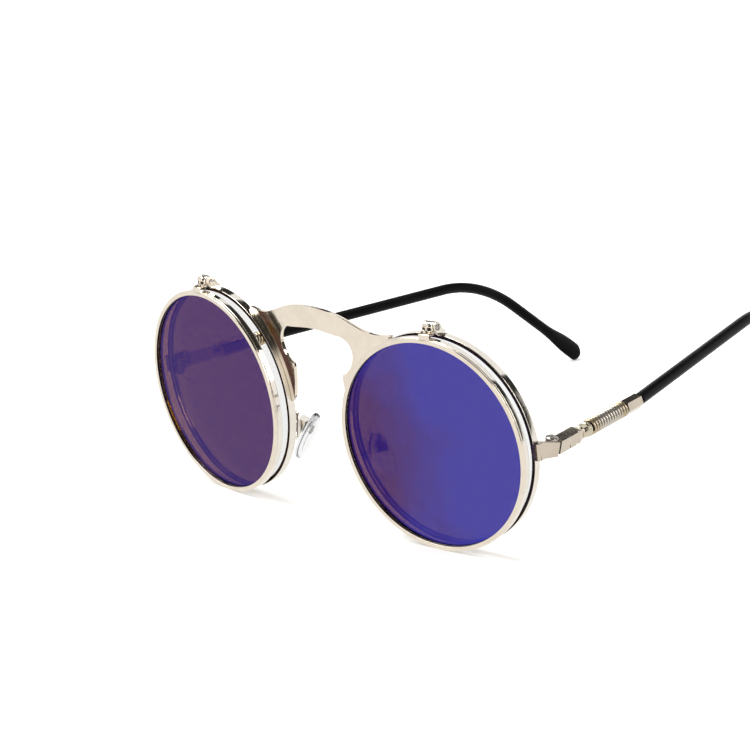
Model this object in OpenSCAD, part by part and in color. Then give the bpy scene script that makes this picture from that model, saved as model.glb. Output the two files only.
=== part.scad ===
// Flip up sunglasses with two round mirrored flip lenses in front of two clear lenses.
// Millimetres. X points to the wearer's left, Y to the wearer's ears, Z up.
// The origin is on the table, midway between the points where the two flip rims stand.
// Every side piece is built for the left side and mirrored for the right side.

/* [Lenses and rims] */
// Radius of the visible lens opening
lens_open_r = 23; // [20:0.5:26]
// Width of a rim's face, from the opening to its outer edge
rim_face = 1.05; // [0.9:0.05:1.6]
// Depth of a rim from front to back
rim_depth = 1.9; // [1.7:0.1:2.8]
// Thickness of the flat front plate of a flip rim
flip_plate_t = 0.6; // [0.4:0.05:0.8]
// Free space between a flip rim and the frame rim behind it
flip_gap = 2.0; // [1.5:0.1:3.5]
// Depth of the groove that holds a lens
groove_depth = 0.45; // [0.3:0.05:0.6]
// Thickness of the mirrored flip lens
flip_lens_t = 1.0; // [0.8:0.05:1.1]
// Thickness of the clear lens in the frame
clear_lens_t = 1.15; // [0.8:0.05:1.2]
// Radius of the gentle lens curve
lens_curve_r = 500; // [400:50:1200]
// Half the distance between the two lens centres
lens_half_distance = 34.6; // [31:0.2:38]
// How far each lens turns outwards round the face, in degrees
wrap_angle = 7.1; // [3:0.1:10]

/* [Bridge plate] */
// Thickness of the bridge plate
bridge_t = 0.9; // [0.7:0.1:1.4]
// Height of the middle of the bridge's top edge above the lens centres
bridge_top_z = 25.4; // [24:0.2:27]
// Height of the dip in the bridge's top edge, next to each rim
bridge_dip_z = 21.3; // [20:0.1:22.5]
// Height of the arch under the bridge
arch_top_z = 20.4; // [18:0.2:21.5]
// Radius of the round lobe at each end of the arch
arch_lobe_r = 3.7; // [3.2:0.1:4.2]
// Half the width between the lower legs of the bridge
leg_half_gap = 7.9; // [7:0.1:8.5]
// Radius of the curve that the plate is bent to
bridge_bend_r = 112; // [90:2:160]

/* [Flip hinge] */
// Outer radius of the hinge barrel
flip_barrel_r = 1.15; // [1:0.05:1.3]
// Length of the moving knuckle between the ears
flip_knuckle_len = 1.9; // [1.6:0.1:2.4]
// Thickness of each ear of the bracket
flip_ear_t = 0.57; // [0.5:0.01:0.8]
// Radius of the hinge screw's shank
flip_pin_r = 0.45; // [0.35:0.05:0.6]
// How far the hinge sits outwards from the top of the rim
flip_hinge_x = 1.2; // [0:0.1:2]
// Height of the hinge axis above the rim's outer edge
flip_hinge_rise = 1.95; // [1.8:0.05:2.4]
// Width of the tab and of the small skull on it
flip_tab_w = 2.8; // [2.4:0.1:3.2]

/* [Endpiece and temple hinge] */
// Height of the endpiece at the rim
endpiece_h = 3.7; // [3:0.1:4.5]
// Thickness of the endpiece's outer wall
endpiece_t = 1.2; // [1:0.1:1.6]
// Outer radius of the temple hinge barrel
temple_barrel_r = 1.35; // [1.2:0.05:1.6]
// Radius of the temple hinge screw's shank
temple_pin_r = 0.55; // [0.4:0.05:0.7]
// Distance of the temple hinge behind the lens plane
temple_hinge_y = 12.0; // [11.6:0.2:14]
// How far the top of the temple hinge's axis leans outwards, in degrees
hinge_lean = 10; // [4:0.5:12]
// How far an open temple points outwards, in degrees
temple_splay = 9.5; // [4:0.5:12]
// How far a temple drops from the lens' own axis, in degrees
temple_drop = 8.7; // [6:0.1:11]

/* [Temples] */
// Height of the temple's front block
block_h = 3.0; // [2.6:0.1:3.4]
// Thickness of the temple's front block
block_t = 2.7; // [2.5:0.1:3.2]
// Distance from the hinge axis to the end of the front block
block_len = 12.3; // [11:0.1:14]
// Radius of the core rod inside the spring
core_r = 1.0; // [0.8:0.05:1.1]
// Length of the spring
spring_len = 16.2; // [14:0.2:20]
// Number of turns of the spring
spring_turns = 14; // [10:1:15]
// Outer radius of the spring
spring_r = 1.8; // [1.7:0.05:2]
// Diameter of the spring's wire
spring_wire = 0.6; // [0.5:0.02:0.62]
// Length of the six-sided ferrule behind the spring
ferrule_len = 6.4; // [5:0.2:10]
// Distance across the ferrule's corners
ferrule_w = 3.5; // [3.3:0.1:4]
// Length of the straight part of the sleeve
sleeve_len = 64.6; // [50:0.2:75]
// Radius of the bend over the ear
ear_bend_r = 48.5; // [35:0.5:60]
// Angle of the bend over the ear, in degrees
ear_bend = 36; // [28:1:42]
// Length of the sleeve after the bend
tip_len = 29.0; // [24:0.5:36]
// Height of the sleeve
sleeve_h = 2.75; // [2.6:0.05:3.4]
// Thickness of the sleeve
sleeve_w = 2.9; // [2.6:0.05:3.4]
// Width of the flared end of the sleeve
paddle_w = 5.0; // [3.6:0.1:6]
// How far the sleeve turns inwards behind the ferrule, in degrees
sleeve_bow = 5.4; // [0:0.2:8]
// How far the left temple is folded inwards at rest, in degrees
left_rest_fold = 20.9; // [0:0.1:40]

/* [Nose pads] */
// Height of a nose pad
pad_h = 12.4; // [11:0.2:14]
// Width of a nose pad
pad_w = 6.6; // [6:0.2:8]
// Thickness of a nose pad
pad_t = 1.8; // [1.4:0.1:2.4]
// How far a pad's middle sits outwards of the rim's inner side
pad_out = 0.87; // [0.47:0.1:1.27]
// How far a pad's top leans towards the nose, in degrees
pad_frontal = 29; // [20:1:34]
// How far a pad's rear edge turns outwards, in degrees
pad_splay = 20; // [12:1:28]
// Diameter of the wire of a pad's arm
arm_wire = 1.0; // [0.8:0.05:1.2]

/* [Fits] */
// Radial clearance of a screw in its bore
pin_fit = 0.04; // [0.02:0.01:0.08]
// Clearance between the leaves of a hinge
leaf_fit = 0.08; // [0.05:0.01:0.12]
// Seam left between two brazed pieces
seam = 0.02; // [0.01:0.01:0.04]
// Play of a lens in its groove
lens_play = 0.05; // [0.02:0.01:0.1]

/* [Hidden] */

SILVER = [0.83, 0.81, 0.77];
DARK_STEEL = [0.55, 0.53, 0.50];
BRASS = [0.80, 0.68, 0.42];
BLACK = [0.05, 0.05, 0.055];
TINT = [0.32, 0.24, 0.52, 0.9];
CLEAR = [0.85, 0.92, 0.95, 0.35];

RING_FN = 128;
FINE_FN = 48;
SMALL_FN = 32;
// Extra length that takes a cut clear of the surface it goes through
CUT = 0.5;

// Rims
rim_out_r = lens_open_r + rim_face;
frame_open_r = lens_open_r + 0.2;
frame_y = rim_depth + flip_gap;
frame_back_y = frame_y + rim_depth;
groove_r = lens_open_r + groove_depth;
frame_groove_r = frame_open_r + groove_depth;
back_lip = 0.2;
LENS_STEPS = 8;

// Flip hinge, in the lens' own frame
flip_hinge_y = rim_depth + 0.6 * flip_gap;
flip_hinge_z = rim_out_r + flip_hinge_rise;
flip_ear_x = flip_knuckle_len / 2 + leaf_fit;
flip_bracket_half = flip_ear_x + flip_ear_t;

// Endpiece and temple hinge
rim_side_x = lens_half_distance + rim_out_r * cos(wrap_angle);
endpiece_proud = 1.35;
hinge_inset = 1.9;
temple_hinge_x = rim_side_x + endpiece_proud - hinge_inset - 0.05;
temple_hinge_z = 0.15;
endpiece_rise = 0.7;
leaf_h = 1.2;
hinge_half_h = 1.62;
hinge_head_r = temple_barrel_r + 0.05;
open_stop_y = 0.85;
block_start_y = open_stop_y + 0.3;

// Temple stations along the core rod, from the hinge axis
core_x = hinge_inset - block_t / 2;
collar_t = 1.2;
collar_y = block_len + 0.7;
spring_y = collar_y + collar_t;
ferrule_y = spring_y + spring_len;
sleeve_y = ferrule_y + ferrule_len;
core_tail = 12;
tip_r = paddle_w / 2;
fold_left = left_rest_fold;
fold_right = 0;

// Turning of a point about each axis
function rot_x(p, a) = [p.x, p.y * cos(a) - p.z * sin(a), p.y * sin(a) + p.z * cos(a)];
function rot_y(p, a) = [p.x * cos(a) + p.z * sin(a), p.y, -p.x * sin(a) + p.z * cos(a)];
function rot_z(p, a) = [p.x * cos(a) - p.y * sin(a), p.x * sin(a) + p.y * cos(a), p.z];
function unit(v) = v / norm(v);
function lerp(a, b, t) = a + (b - a) * t;
function smooth(t) = let(u = min(max(t, 0), 1)) u * u * (3 - 2 * u);

// Point on the sleeve's centre line and its direction, in the temple's own frame
sleeve_dir = [-sin(sleeve_bow), cos(sleeve_bow), 0];
sleeve_side = [cos(sleeve_bow), sin(sleeve_bow), 0];
sleeve_start = [core_x, sleeve_y, 0];
arc_len = ear_bend_r * ear_bend * PI / 180;
sleeve_total = sleeve_len + arc_len + tip_len;
function bend_at(s) = min(max((s - sleeve_len) / arc_len, 0), 1) * ear_bend;
function sleeve_along(s) = cos(bend_at(s)) * sleeve_dir - [0, 0, sin(bend_at(s))];
function sleeve_up(s) = sin(bend_at(s)) * sleeve_dir + [0, 0, cos(bend_at(s))];
function sleeve_point(s) =
    let(a = bend_at(s), straight = min(s, sleeve_len), rest = max(s - sleeve_len - arc_len, 0))
    sleeve_start + sleeve_dir * (straight + ear_bend_r * sin(a))
        - [0, 0, ear_bend_r * (1 - cos(a))] + sleeve_along(s) * rest;

// From the open temple's own frame to the frame of the lenses
function temple_to_lens(p) =
    rot_z(rot_x(rot_y(p, hinge_lean), -temple_drop), -temple_splay)
        + [temple_hinge_x, temple_hinge_y, temple_hinge_z];

// The glasses stand on the two flip rims and on the end of the open right temple
tip_centre = temple_to_lens(sleeve_point(sleeve_total));
tip_rise = tip_centre.z + rim_out_r;
stand_angle = asin(tip_r / norm([tip_centre.y, tip_rise])) - atan2(tip_rise, tip_centre.y);
stand_z = rim_out_r * norm([cos(stand_angle), sin(wrap_angle) * sin(stand_angle)]);
stand_y = -rim_out_r * sin(stand_angle);

module stand() {
    translate([0, stand_y, stand_z]) rotate([stand_angle, 0, 0]) children();
}
function to_world(p) = rot_x(p, stand_angle) + [0, stand_y, stand_z];

module lens_frame() {
    translate([lens_half_distance, 0, 0]) rotate([0, 0, wrap_angle]) children();
}

module hinge_frame() {
    translate([temple_hinge_x, temple_hinge_y, temple_hinge_z])
        rotate([0, 0, -temple_splay]) rotate([-temple_drop, 0, 0]) rotate([0, hinge_lean, 0])
            children();
}

module temple_frame(fold) {
    hinge_frame() rotate([0, 0, fold]) children();
}

// Disc or ring round the lens axis, from depth y0 to depth y1 behind the front plane
module lens_disc(r, y0, y1) {
    rotate([-90, 0, 0]) translate([0, 0, y0]) cylinder(r = r, h = y1 - y0, $fn = RING_FN);
}

module lens_ring(r_in, r_out, y0, y1) {
    difference() {
        lens_disc(r_out, y0, y1);
        lens_disc(r_in, y0 - CUT, y1 + CUT);
    }
}

// Cylinder along X, and along Y, from one end to the other
module rod_x(r, x0, x1, fn = SMALL_FN) {
    translate([x0, 0, 0]) rotate([0, 90, 0]) cylinder(r = r, h = x1 - x0, $fn = fn);
}

module rod_y(r, y0, y1, fn = SMALL_FN) {
    translate([0, y0, 0]) rotate([-90, 0, 0]) cylinder(r = r, h = y1 - y0, $fn = fn);
}

module box(x0, x1, y0, y1, z0, z1) {
    translate([x0, y0, z0]) cube([x1 - x0, y1 - y0, z1 - z0]);
}

// Tube through a list of rings that all have the same number of points
module skin(rings) {
    n = len(rings[0]);
    m = len(rings);
    points = [for (ring = rings) each ring];
    walls = [for (i = [0:m - 2], j = [0:n - 1])
        let(a = i * n + j, b = i * n + (j + 1) % n)
        each [[a, b, a + n], [b, b + n, a + n]]];
    low = [for (j = [1:n - 2]) [0, j + 1, j]];
    high = [for (j = [1:n - 2]) [(m - 1) * n, (m - 1) * n + j, (m - 1) * n + j + 1]];
    polyhedron(points = points, faces = concat(walls, low, high), convexity = 6);
}

function oval(centre, u, v, a, b, n) =
    [for (k = [0:n - 1]) centre + u * a * cos(360 * k / n) + v * b * sin(360 * k / n)];

function tangent(path, i) =
    unit(path[min(i + 1, len(path) - 1)] - path[max(i - 1, 0)]);

// Smooth curve through four points, from the second to the third
function spline_point(a, b, c, d, t) =
    0.5 * (2 * b + (c - a) * t + (2 * a - 5 * b + 4 * c - d) * pow(t, 2)
        + (3 * b - a - 3 * c + d) * pow(t, 3));

function bezier(a, b, c, d, steps) = [for (k = [0:steps])
    let(t = k / steps, s = 1 - t)
    pow(s, 3) * a + 3 * pow(s, 2) * t * b + 3 * s * pow(t, 2) * c + pow(t, 3) * d];

// Bridge plate

bridge_y = frame_y * cos(wrap_angle) - 2.37;
bridge_tail_x = 22.3;
bridge_leg_z = 1.4;
lobe_edge_x = 11.3;
lobe_mid_z = 16;
lobe_low_r = 5.6;
cusp_z = 10.6;

// The other half of an outline that starts and ends on the centre line
function mirrored(points) = [for (i = [len(points) - 2:-1:1]) [-points[i].x, points[i].y]];

module bridge_outline() {
    dip_x = 19;
    crown = bezier([0, bridge_top_z], [11, bridge_top_z], [12.8, bridge_dip_z - 0.2],
        [dip_x, bridge_dip_z], 16);
    tail = [bridge_tail_x, bridge_dip_z + 0.25];
    leg = [[lens_half_distance - 12, bridge_leg_z], [leg_half_gap + 1.9, bridge_leg_z],
        [leg_half_gap + 0.8, bridge_leg_z + 1.6], [leg_half_gap + 0.1, bridge_leg_z + 5],
        [leg_half_gap - 0.2, cusp_z], [0, cusp_z]];
    half = concat(crown, [tail, tail - [0, 3]], leg);
    difference() {
        polygon(concat(half, mirrored(half)));
        arch_opening();
    }
}

// The arch has a round lobe at each side, with a larger radius below its middle
module arch_opening() {
    shoulder_x = lobe_edge_x - arch_lobe_r;
    low_x = lobe_edge_x - lobe_low_r;
    low_turn = acos((leg_half_gap - low_x) / lobe_low_r);
    upper = [for (a = [90:-10:0]) [shoulder_x, lobe_mid_z] + arch_lobe_r * [cos(a), sin(a)]];
    lower = [for (k = [1:6]) let(a = -low_turn * k / 6) [low_x, lobe_mid_z] + lobe_low_r * [cos(a), sin(a)]];
    crown = bezier([0, arch_top_z], [3, arch_top_z], [shoulder_x - 2, lobe_mid_z + arch_lobe_r + 0.1],
        upper[0], 6);
    half = concat(crown, [for (i = [1:len(upper) - 1]) upper[i]], lower,
        [[leg_half_gap, 0], [0, 0]]);
    polygon(concat(half, mirrored(half)));
}

module bridge_plate() {
    reach = bridge_top_z + 4.6;
    plate_depth = 12;
    color(SILVER) stand() difference() {
        intersection() {
            translate([0, bridge_y + plate_depth, 0]) rotate([90, 0, 0])
                linear_extrude(height = plate_depth + 2) bridge_outline();
            translate([0, bridge_y + bridge_bend_r, -2]) difference() {
                cylinder(r = bridge_bend_r, h = reach, $fn = 360);
                translate([0, 0, -1]) cylinder(r = bridge_bend_r - bridge_t, h = reach + 2, $fn = 360);
            }
        }
        for (side = [0, 1]) mirror([side, 0, 0]) lens_frame() lens_disc(rim_out_r + seam, -3, plate_depth);
    }
}

// Frame rim, split at its outer side, and the clear lens in it

module frame_rim() {
    split_h = 0.2;
    color(SILVER) lens_frame() difference() {
        lens_ring(frame_open_r, rim_out_r, frame_y, frame_back_y);
        lens_ring(frame_open_r - CUT, frame_groove_r, frame_y + 0.35, frame_y + 0.35 + clear_lens_t + 0.1);
        box(frame_open_r - 1, rim_out_r + 1, frame_y - CUT, frame_back_y + CUT, -split_h / 2, split_h / 2);
    }
}

// Round lens with an even thickness, whose front edge lies at depth edge_y
module curved_lens(r, t, edge_y) {
    sag = pow(r, 2) / (2 * lens_curve_r);
    front = [for (k = [0:LENS_STEPS]) let(x = r * k / LENS_STEPS)
        [x, edge_y - sag + pow(x, 2) / (2 * lens_curve_r)]];
    back = [for (k = [LENS_STEPS:-1:0]) front[k] + [0, t]];
    rotate([-90, 0, 0]) rotate_extrude($fn = RING_FN) polygon(concat(front, back));
}

module clear_lens() {
    color(CLEAR) lens_frame()
        curved_lens(frame_groove_r - lens_play, clear_lens_t, frame_y + 0.4);
}

// Block that closes the split rim behind the endpiece, and its screw

lock_w = 1.6;
lock_x1 = rim_out_r - 0.3;
lock_t = 1.75;
lock_x0 = lock_x1 - lock_w;
lock_screw_x = (lock_x0 + lock_x1) / 2;
lock_screw_y = frame_back_y + 0.95;
lock_half_h = 1.7;

module rim_lock() {
    split_h = 0.2;
    color(DARK_STEEL) lens_frame() difference() {
        box(lock_x0, lock_x1, frame_back_y + seam, frame_back_y + lock_t, -lock_half_h, lock_half_h);
        box(lock_x0 - 1, lock_x1 + 1, frame_back_y - CUT, frame_back_y + 3, -split_h / 2, split_h / 2);
        translate([lock_screw_x, lock_screw_y, -lock_half_h - CUT])
            cylinder(r = 0.45 + pin_fit, h = 2 * (lock_half_h + CUT), $fn = SMALL_FN);
    }
}

module rim_lock_screw() {
    color(SILVER) lens_frame() translate([lock_screw_x, lock_screw_y, 0]) difference() {
        union() {
            translate([0, 0, -lock_half_h - 0.4]) cylinder(r = 0.8, h = 0.4, $fn = SMALL_FN);
            translate([0, 0, -lock_half_h - 0.1]) cylinder(r = 0.45, h = 2 * lock_half_h, $fn = SMALL_FN);
        }
        box(-0.9, 0.9, -0.11, 0.11, -lock_half_h - 0.5, -lock_half_h - 0.22);
    }
}

// Endpiece: a claw on the front of the rim, a wall to the hinge and the hinge's outer leaves

module endpiece() {
    claw_z0 = endpiece_rise - endpiece_h / 2;
    claw_z1 = endpiece_rise + endpiece_h / 2;
    claw_front = frame_y - 0.15;
    claw_x0 = rim_out_r - 0.3;
    claw_x1 = rim_out_r + endpiece_proud;
    corner_r = 0.7;
    leaf_z = hinge_half_h - leaf_h / 2 - leaf_fit;
    color(SILVER) difference() {
        union() {
            difference() {
                union() {
                    lens_frame() {
                        box(claw_x0, claw_x1 - corner_r, claw_front, frame_back_y, claw_z0, claw_z1);
                        box(claw_x1 - corner_r - CUT, claw_x1, claw_front + corner_r, frame_back_y,
                            claw_z0, claw_z1);
                        translate([claw_x1 - corner_r, claw_front + corner_r, claw_z0])
                            cylinder(r = corner_r, h = claw_z1 - claw_z0, $fn = FINE_FN);
                    }
                    hull() {
                        lens_frame() box(claw_x1 - endpiece_t, claw_x1, frame_back_y - 0.4, frame_back_y,
                            claw_z0, claw_z1);
                        hinge_frame() box(hinge_inset - endpiece_t, hinge_inset, open_stop_y - 0.6,
                            open_stop_y, -hinge_half_h, hinge_half_h);
                    }
                }
                lens_frame() lens_disc(rim_out_r + seam, frame_y - seam, frame_back_y + 2.6);
            }
            hinge_frame() for (z = [leaf_h / 2 + leaf_fit, -hinge_half_h]) translate([0, 0, z]) {
                cylinder(r = temple_barrel_r, h = leaf_z, $fn = FINE_FN);
                box(0, hinge_inset - 0.2, -temple_barrel_r, open_stop_y, 0, leaf_z);
            }
        }
        hinge_frame() {
            translate([0, 0, -leaf_h / 2 - leaf_fit])
                cylinder(r = temple_barrel_r + 0.12, h = leaf_h + 2 * leaf_fit, $fn = FINE_FN);
            translate([0, 0, -hinge_half_h - CUT])
                cylinder(r = temple_pin_r + pin_fit, h = 2 * (hinge_half_h + CUT), $fn = SMALL_FN);
            translate([0, 0, hinge_half_h])
                cylinder(r = hinge_head_r + pin_fit, h = endpiece_h, $fn = SMALL_FN);
        }
    }
}

module temple_hinge_screw() {
    head_r = hinge_head_r;
    color(SILVER) hinge_frame() difference() {
        union() {
            translate([0, 0, -hinge_half_h]) cylinder(r = temple_pin_r, h = 2 * hinge_half_h + 0.1, $fn = SMALL_FN);
            translate([0, 0, hinge_half_h + seam]) cylinder(r = head_r, h = 0.5, $fn = SMALL_FN);
            translate([0, 0, hinge_half_h + seam + 0.5]) cylinder(r1 = head_r, r2 = head_r - 0.35, h = 0.25, $fn = SMALL_FN);
        }
        box(-2, 2, -0.15, 0.15, hinge_half_h + 0.45, hinge_half_h + 1);
    }
}

// Fork on top of the frame rim that carries the flip hinge

module at_flip_hinge() {
    translate([flip_hinge_x, flip_hinge_y, flip_hinge_z]) children();
}

module flip_bracket() {
    top = rim_out_r + 0.85;
    foot_z = rim_out_r - 0.3;
    ear = [[flip_hinge_y - 0.95, flip_hinge_z - 0.65], [frame_y - 0.35, foot_z],
        [frame_back_y - 0.2, foot_z], [frame_back_y - 0.2, top - 0.25], [frame_back_y - 0.45, top],
        [frame_back_y - 0.8, top], [flip_hinge_y + 0.95, flip_hinge_z + 0.65]];
    color(SILVER) lens_frame() difference() {
        union() {
            translate([flip_hinge_x, 0, 0]) {
                for (x = [flip_ear_x, -flip_bracket_half]) translate([x, 0, 0])
                    rotate([90, 0, 90]) linear_extrude(height = flip_ear_t) polygon(ear);
                box(-flip_bracket_half, flip_bracket_half, frame_y + 0.1, frame_back_y - 0.2, foot_z,
                    rim_out_r + 0.45);
                box(-flip_bracket_half, flip_bracket_half, frame_back_y - 0.8, frame_back_y - 0.2,
                    foot_z, top - 0.25);
            }
            at_flip_hinge() for (x = [flip_ear_x, -flip_bracket_half])
                rod_x(flip_barrel_r, x, x + flip_ear_t, FINE_FN);
        }
        lens_disc(rim_out_r + seam, frame_y - 3, frame_back_y + 1);
        at_flip_hinge() {
            rod_x(flip_pin_r + pin_fit, -flip_bracket_half - CUT, flip_bracket_half + CUT);
            rod_x(flip_barrel_r + 0.12, -flip_ear_x, flip_ear_x, FINE_FN);
        }
    }
}

module flip_hinge_screw() {
    head_r = 0.72;
    color(DARK_STEEL) lens_frame() at_flip_hinge() difference() {
        union() {
            rod_x(flip_pin_r, -flip_bracket_half, flip_bracket_half + 0.1);
            rod_x(head_r, flip_bracket_half + seam, flip_bracket_half + 0.2);
        }
        box(flip_bracket_half + 0.1, flip_bracket_half + 0.5, -0.1, 0.1, -1, 1);
    }
}

// Flip plate: flat front ring, a tab bent back over the rim, and a knuckle behind a small skull

skull_back = flip_hinge_y - flip_barrel_r - 0.08;
skull_front = skull_back - 0.42;
strip_z = rim_out_r + 0.57;
strip_t = 0.5;

module skull() {
    eye_z = flip_hinge_z - 0.1;
    eye_x = 0.78;
    difference() {
        intersection() {
            box(-flip_tab_w / 2, flip_tab_w / 2, skull_front, skull_back, strip_z, flip_hinge_z + 1.3);
            translate([0, skull_front - 1, flip_hinge_z - 0.15]) rod_y(1.55, 0, 4, FINE_FN);
        }
        for (side = [-1, 1]) translate([side * eye_x, 0, eye_z]) rod_y(0.42, 0, skull_back - 0.1);
        translate([0, 0, eye_z - 0.75]) rod_y(0.3, 0, skull_back - 0.15);
    }
}

module flip_plate() {
    half = flip_tab_w / 2;
    knuckle = flip_knuckle_len / 2;
    tab = [[0, rim_out_r - 0.5], [0, strip_z + 0.1], [0.4, strip_z + strip_t], [skull_back, strip_z + strip_t + 0.2],
        [skull_back, strip_z], [flip_plate_t + 0.2, strip_z], [flip_plate_t, strip_z - 0.2],
        [flip_plate_t, rim_out_r - 0.5]];
    web = [[skull_front + 0.1, flip_hinge_z + 0.5], [skull_front + 0.1, strip_z],
        [flip_hinge_y - 0.6, flip_hinge_z - 1], [flip_hinge_y, flip_hinge_z], [flip_hinge_y - 0.5, flip_hinge_z + 1]];
    color(SILVER) lens_frame() difference() {
        union() {
            difference() {
                union() {
                    lens_disc(rim_out_r, 0, flip_plate_t - seam);
                    translate([flip_hinge_x, 0, 0]) {
                        translate([-half, 0, 0]) rotate([90, 0, 90])
                            linear_extrude(height = 2 * half) polygon(tab);
                    }
                }
                lens_disc(lens_open_r, -CUT, rim_depth);
            }
            translate([flip_hinge_x, 0, 0]) {
                skull();
                translate([-knuckle, 0, 0]) rotate([90, 0, 90]) linear_extrude(height = 2 * knuckle) polygon(web);
            }
            at_flip_hinge() rod_x(flip_barrel_r, -knuckle, knuckle, FINE_FN);
        }
        at_flip_hinge() rod_x(flip_pin_r + pin_fit, -knuckle - CUT, knuckle + CUT);
    }
}

module flip_rim() {
    color(SILVER) lens_frame() difference() {
        lens_ring(lens_open_r, rim_out_r, flip_plate_t, rim_depth);
        lens_ring(lens_open_r - CUT, groove_r, flip_plate_t - CUT, rim_depth - back_lip);
    }
}

module flip_lens() {
    color(TINT) lens_frame()
        curved_lens(groove_r - lens_play, flip_lens_t, flip_plate_t + 0.04);
}

// Nose pad, its arm, the box that holds it and the screw through both

arm_rim_angle = 200;
pad_drop = 0.47;
pad_mid = [lens_half_distance - rim_out_r * cos(wrap_angle) + pad_out, frame_back_y + 0.95,
    rim_out_r * sin(arm_rim_angle) - pad_drop];
pad_box_x = pad_t / 2 + 0.5;
pad_box_t = 1.85;
pad_box_w = 2.6;
pad_box_h = 3.4;
pad_box_z = 1.8;
pad_box_wall = 0.4;
pad_pin_r = 0.3;
pad_pin_x = pad_box_x + 0.9;
pad_post_end = 0.48;

module pad_frame() {
    translate(pad_mid) rotate([0, 0, -pad_splay]) rotate([0, -pad_frontal, 0]) children();
}
function pad_to_lens(p) = rot_z(rot_y(p, -pad_frontal), -pad_splay) + pad_mid;

PAD_SIDES = 28;
PAD_RINGS = 8;

// Outline of a pad at depth x, drawn in by an inset: rounder below, narrower at its top
function pad_ring(x, inset) = [for (k = [0:PAD_SIDES - 1])
    let(a = 360 * k / PAD_SIDES, lift = sin(a))
    [x, (pad_w / 2 - inset) * cos(a) * (1 - 0.16 * lift), (pad_h / 2 - inset) * lift]];

module nose_pad() {
    post_h = pad_box_h - 2 * pad_box_wall - 0.9;
    post_w = pad_box_w - 2 * pad_box_wall - 0.2;
    color(CLEAR) pad_frame() difference() {
        union() {
            skin([for (i = [0:PAD_RINGS]) let(a = 84 - 168 * i / PAD_RINGS)
                pad_ring(pad_t / 2 * sin(a), pad_t / 2 * (1 - cos(a)))]);
            box(0, pad_pin_x, -post_w / 2, post_w / 2, pad_box_z - post_h / 2, pad_box_z + post_h / 2);
            translate([pad_pin_x, 0, pad_box_z]) rod_y(pad_post_end, -post_w / 2, post_w / 2);
        }
        translate([pad_pin_x, 0, pad_box_z]) rod_y(pad_pin_r + pin_fit, -pad_w, pad_w);
    }
}

module pad_box() {
    color(SILVER) pad_frame() translate([pad_box_x, 0, pad_box_z]) difference() {
        box(0, pad_box_t, -pad_box_w / 2, pad_box_w / 2, -pad_box_h / 2, pad_box_h / 2);
        box(-CUT, pad_box_t - pad_box_wall, pad_box_wall - pad_box_w / 2, pad_box_w / 2 - pad_box_wall,
            pad_box_wall - pad_box_h / 2, pad_box_h / 2 - pad_box_wall);
        translate([pad_pin_x - pad_box_x, 0, 0]) rod_y(pad_pin_r + pin_fit, -pad_box_w, pad_box_w);
    }
}

module pad_screw() {
    color(DARK_STEEL) pad_frame() translate([pad_pin_x, 0, pad_box_z]) {
        rod_y(pad_pin_r, -pad_box_w / 2, pad_box_w / 2 + 0.1);
        rod_y(0.55, pad_box_w / 2 + seam, pad_box_w / 2 + 0.25);
    }
}

arm_rim_r = (frame_open_r + rim_out_r) / 2;
arm_foot_lens = [arm_rim_r * cos(arm_rim_angle), frame_back_y + seam, arm_rim_r * sin(arm_rim_angle)];
arm_foot = rot_z(arm_foot_lens, wrap_angle) + [lens_half_distance, 0, 0];
arm_head = pad_to_lens([pad_box_x + pad_box_t + seam, 0, pad_box_z + 0.6]);
arm_head_dir = pad_to_lens([pad_box_x + pad_box_t + 1.2, 0, pad_box_z + 0.6]);
arm_knots = [arm_foot - [0, 1.2, 0], arm_foot, arm_foot + [-0.25, 0.9, 0.5], arm_foot + [-0.3, 1.3, 2.6],
    arm_foot + [0.45, 2.1, 5.0], arm_head_dir + [0.2, -0.3, 0.9], arm_head_dir, arm_head];
ARM_STEPS = 4;

module pad_arm() {
    ends = concat(arm_knots, [2 * arm_head - arm_head_dir]);
    path = concat([for (i = [1:len(ends) - 3], k = [0:ARM_STEPS - 1])
        spline_point(ends[i - 1], ends[i], ends[i + 1], ends[i + 2], k / ARM_STEPS)], [arm_head]);
    rings = [for (i = [0:len(path) - 1])
        let(t = i == 0 ? [sin(-wrap_angle), cos(wrap_angle), 0] : i == len(path) - 1
                ? unit(arm_head - arm_head_dir) : tangent(path, i),
            u = unit(cross(t, [1, 0, 0.3])), v = cross(t, u))
        oval(path[i], u, v, arm_wire / 2, arm_wire / 2, 10)];
    color(SILVER) skin(rings);
}

// Temple, in its own frame: Y along the temple, X outwards, Z along the hinge axis

module temple_block(fold) {
    notch_y = block_len - 3.7;
    taper_y = block_len - 2.8;
    inner_x = hinge_inset - block_t;
    color(SILVER) temple_frame(fold) difference() {
        union() {
            difference() {
                union() {
                    box(0.75, hinge_inset, block_start_y, taper_y, -block_h / 2, block_h / 2);
                    box(inner_x, hinge_inset, temple_barrel_r, taper_y, -block_h / 2, block_h / 2);
                }
                cylinder(r = temple_barrel_r + 0.12, h = 2 * block_h, center = true, $fn = FINE_FN);
            }
            hull() {
                box(inner_x, hinge_inset, taper_y - 0.1, taper_y, -block_h / 2, block_h / 2);
                translate([core_x, 0, 0]) rod_y(core_r, block_len - 0.4, block_len, 24);
            }
            translate([0, 0, -leaf_h / 2]) {
                cylinder(r = temple_barrel_r, h = leaf_h, $fn = FINE_FN);
                box(inner_x + 0.3, hinge_inset - 0.75, 0, temple_barrel_r + 0.8, 0, leaf_h);
            }
        }
        translate([0, 0, -leaf_h]) cylinder(r = temple_pin_r + pin_fit, h = 2 * leaf_h, $fn = SMALL_FN);
        translate([hinge_inset + 0.25, notch_y, 0]) rotate([0, 0, 45])
            box(-0.55, 0.55, -0.55, 0.55, -block_h, block_h);
        translate([hinge_inset, block_len - 7.1, -0.75]) rotate([25, 0, 0]) box(-0.15, 1, -0.12, 0.12, -0.9, 0.35);
    }
}

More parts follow.
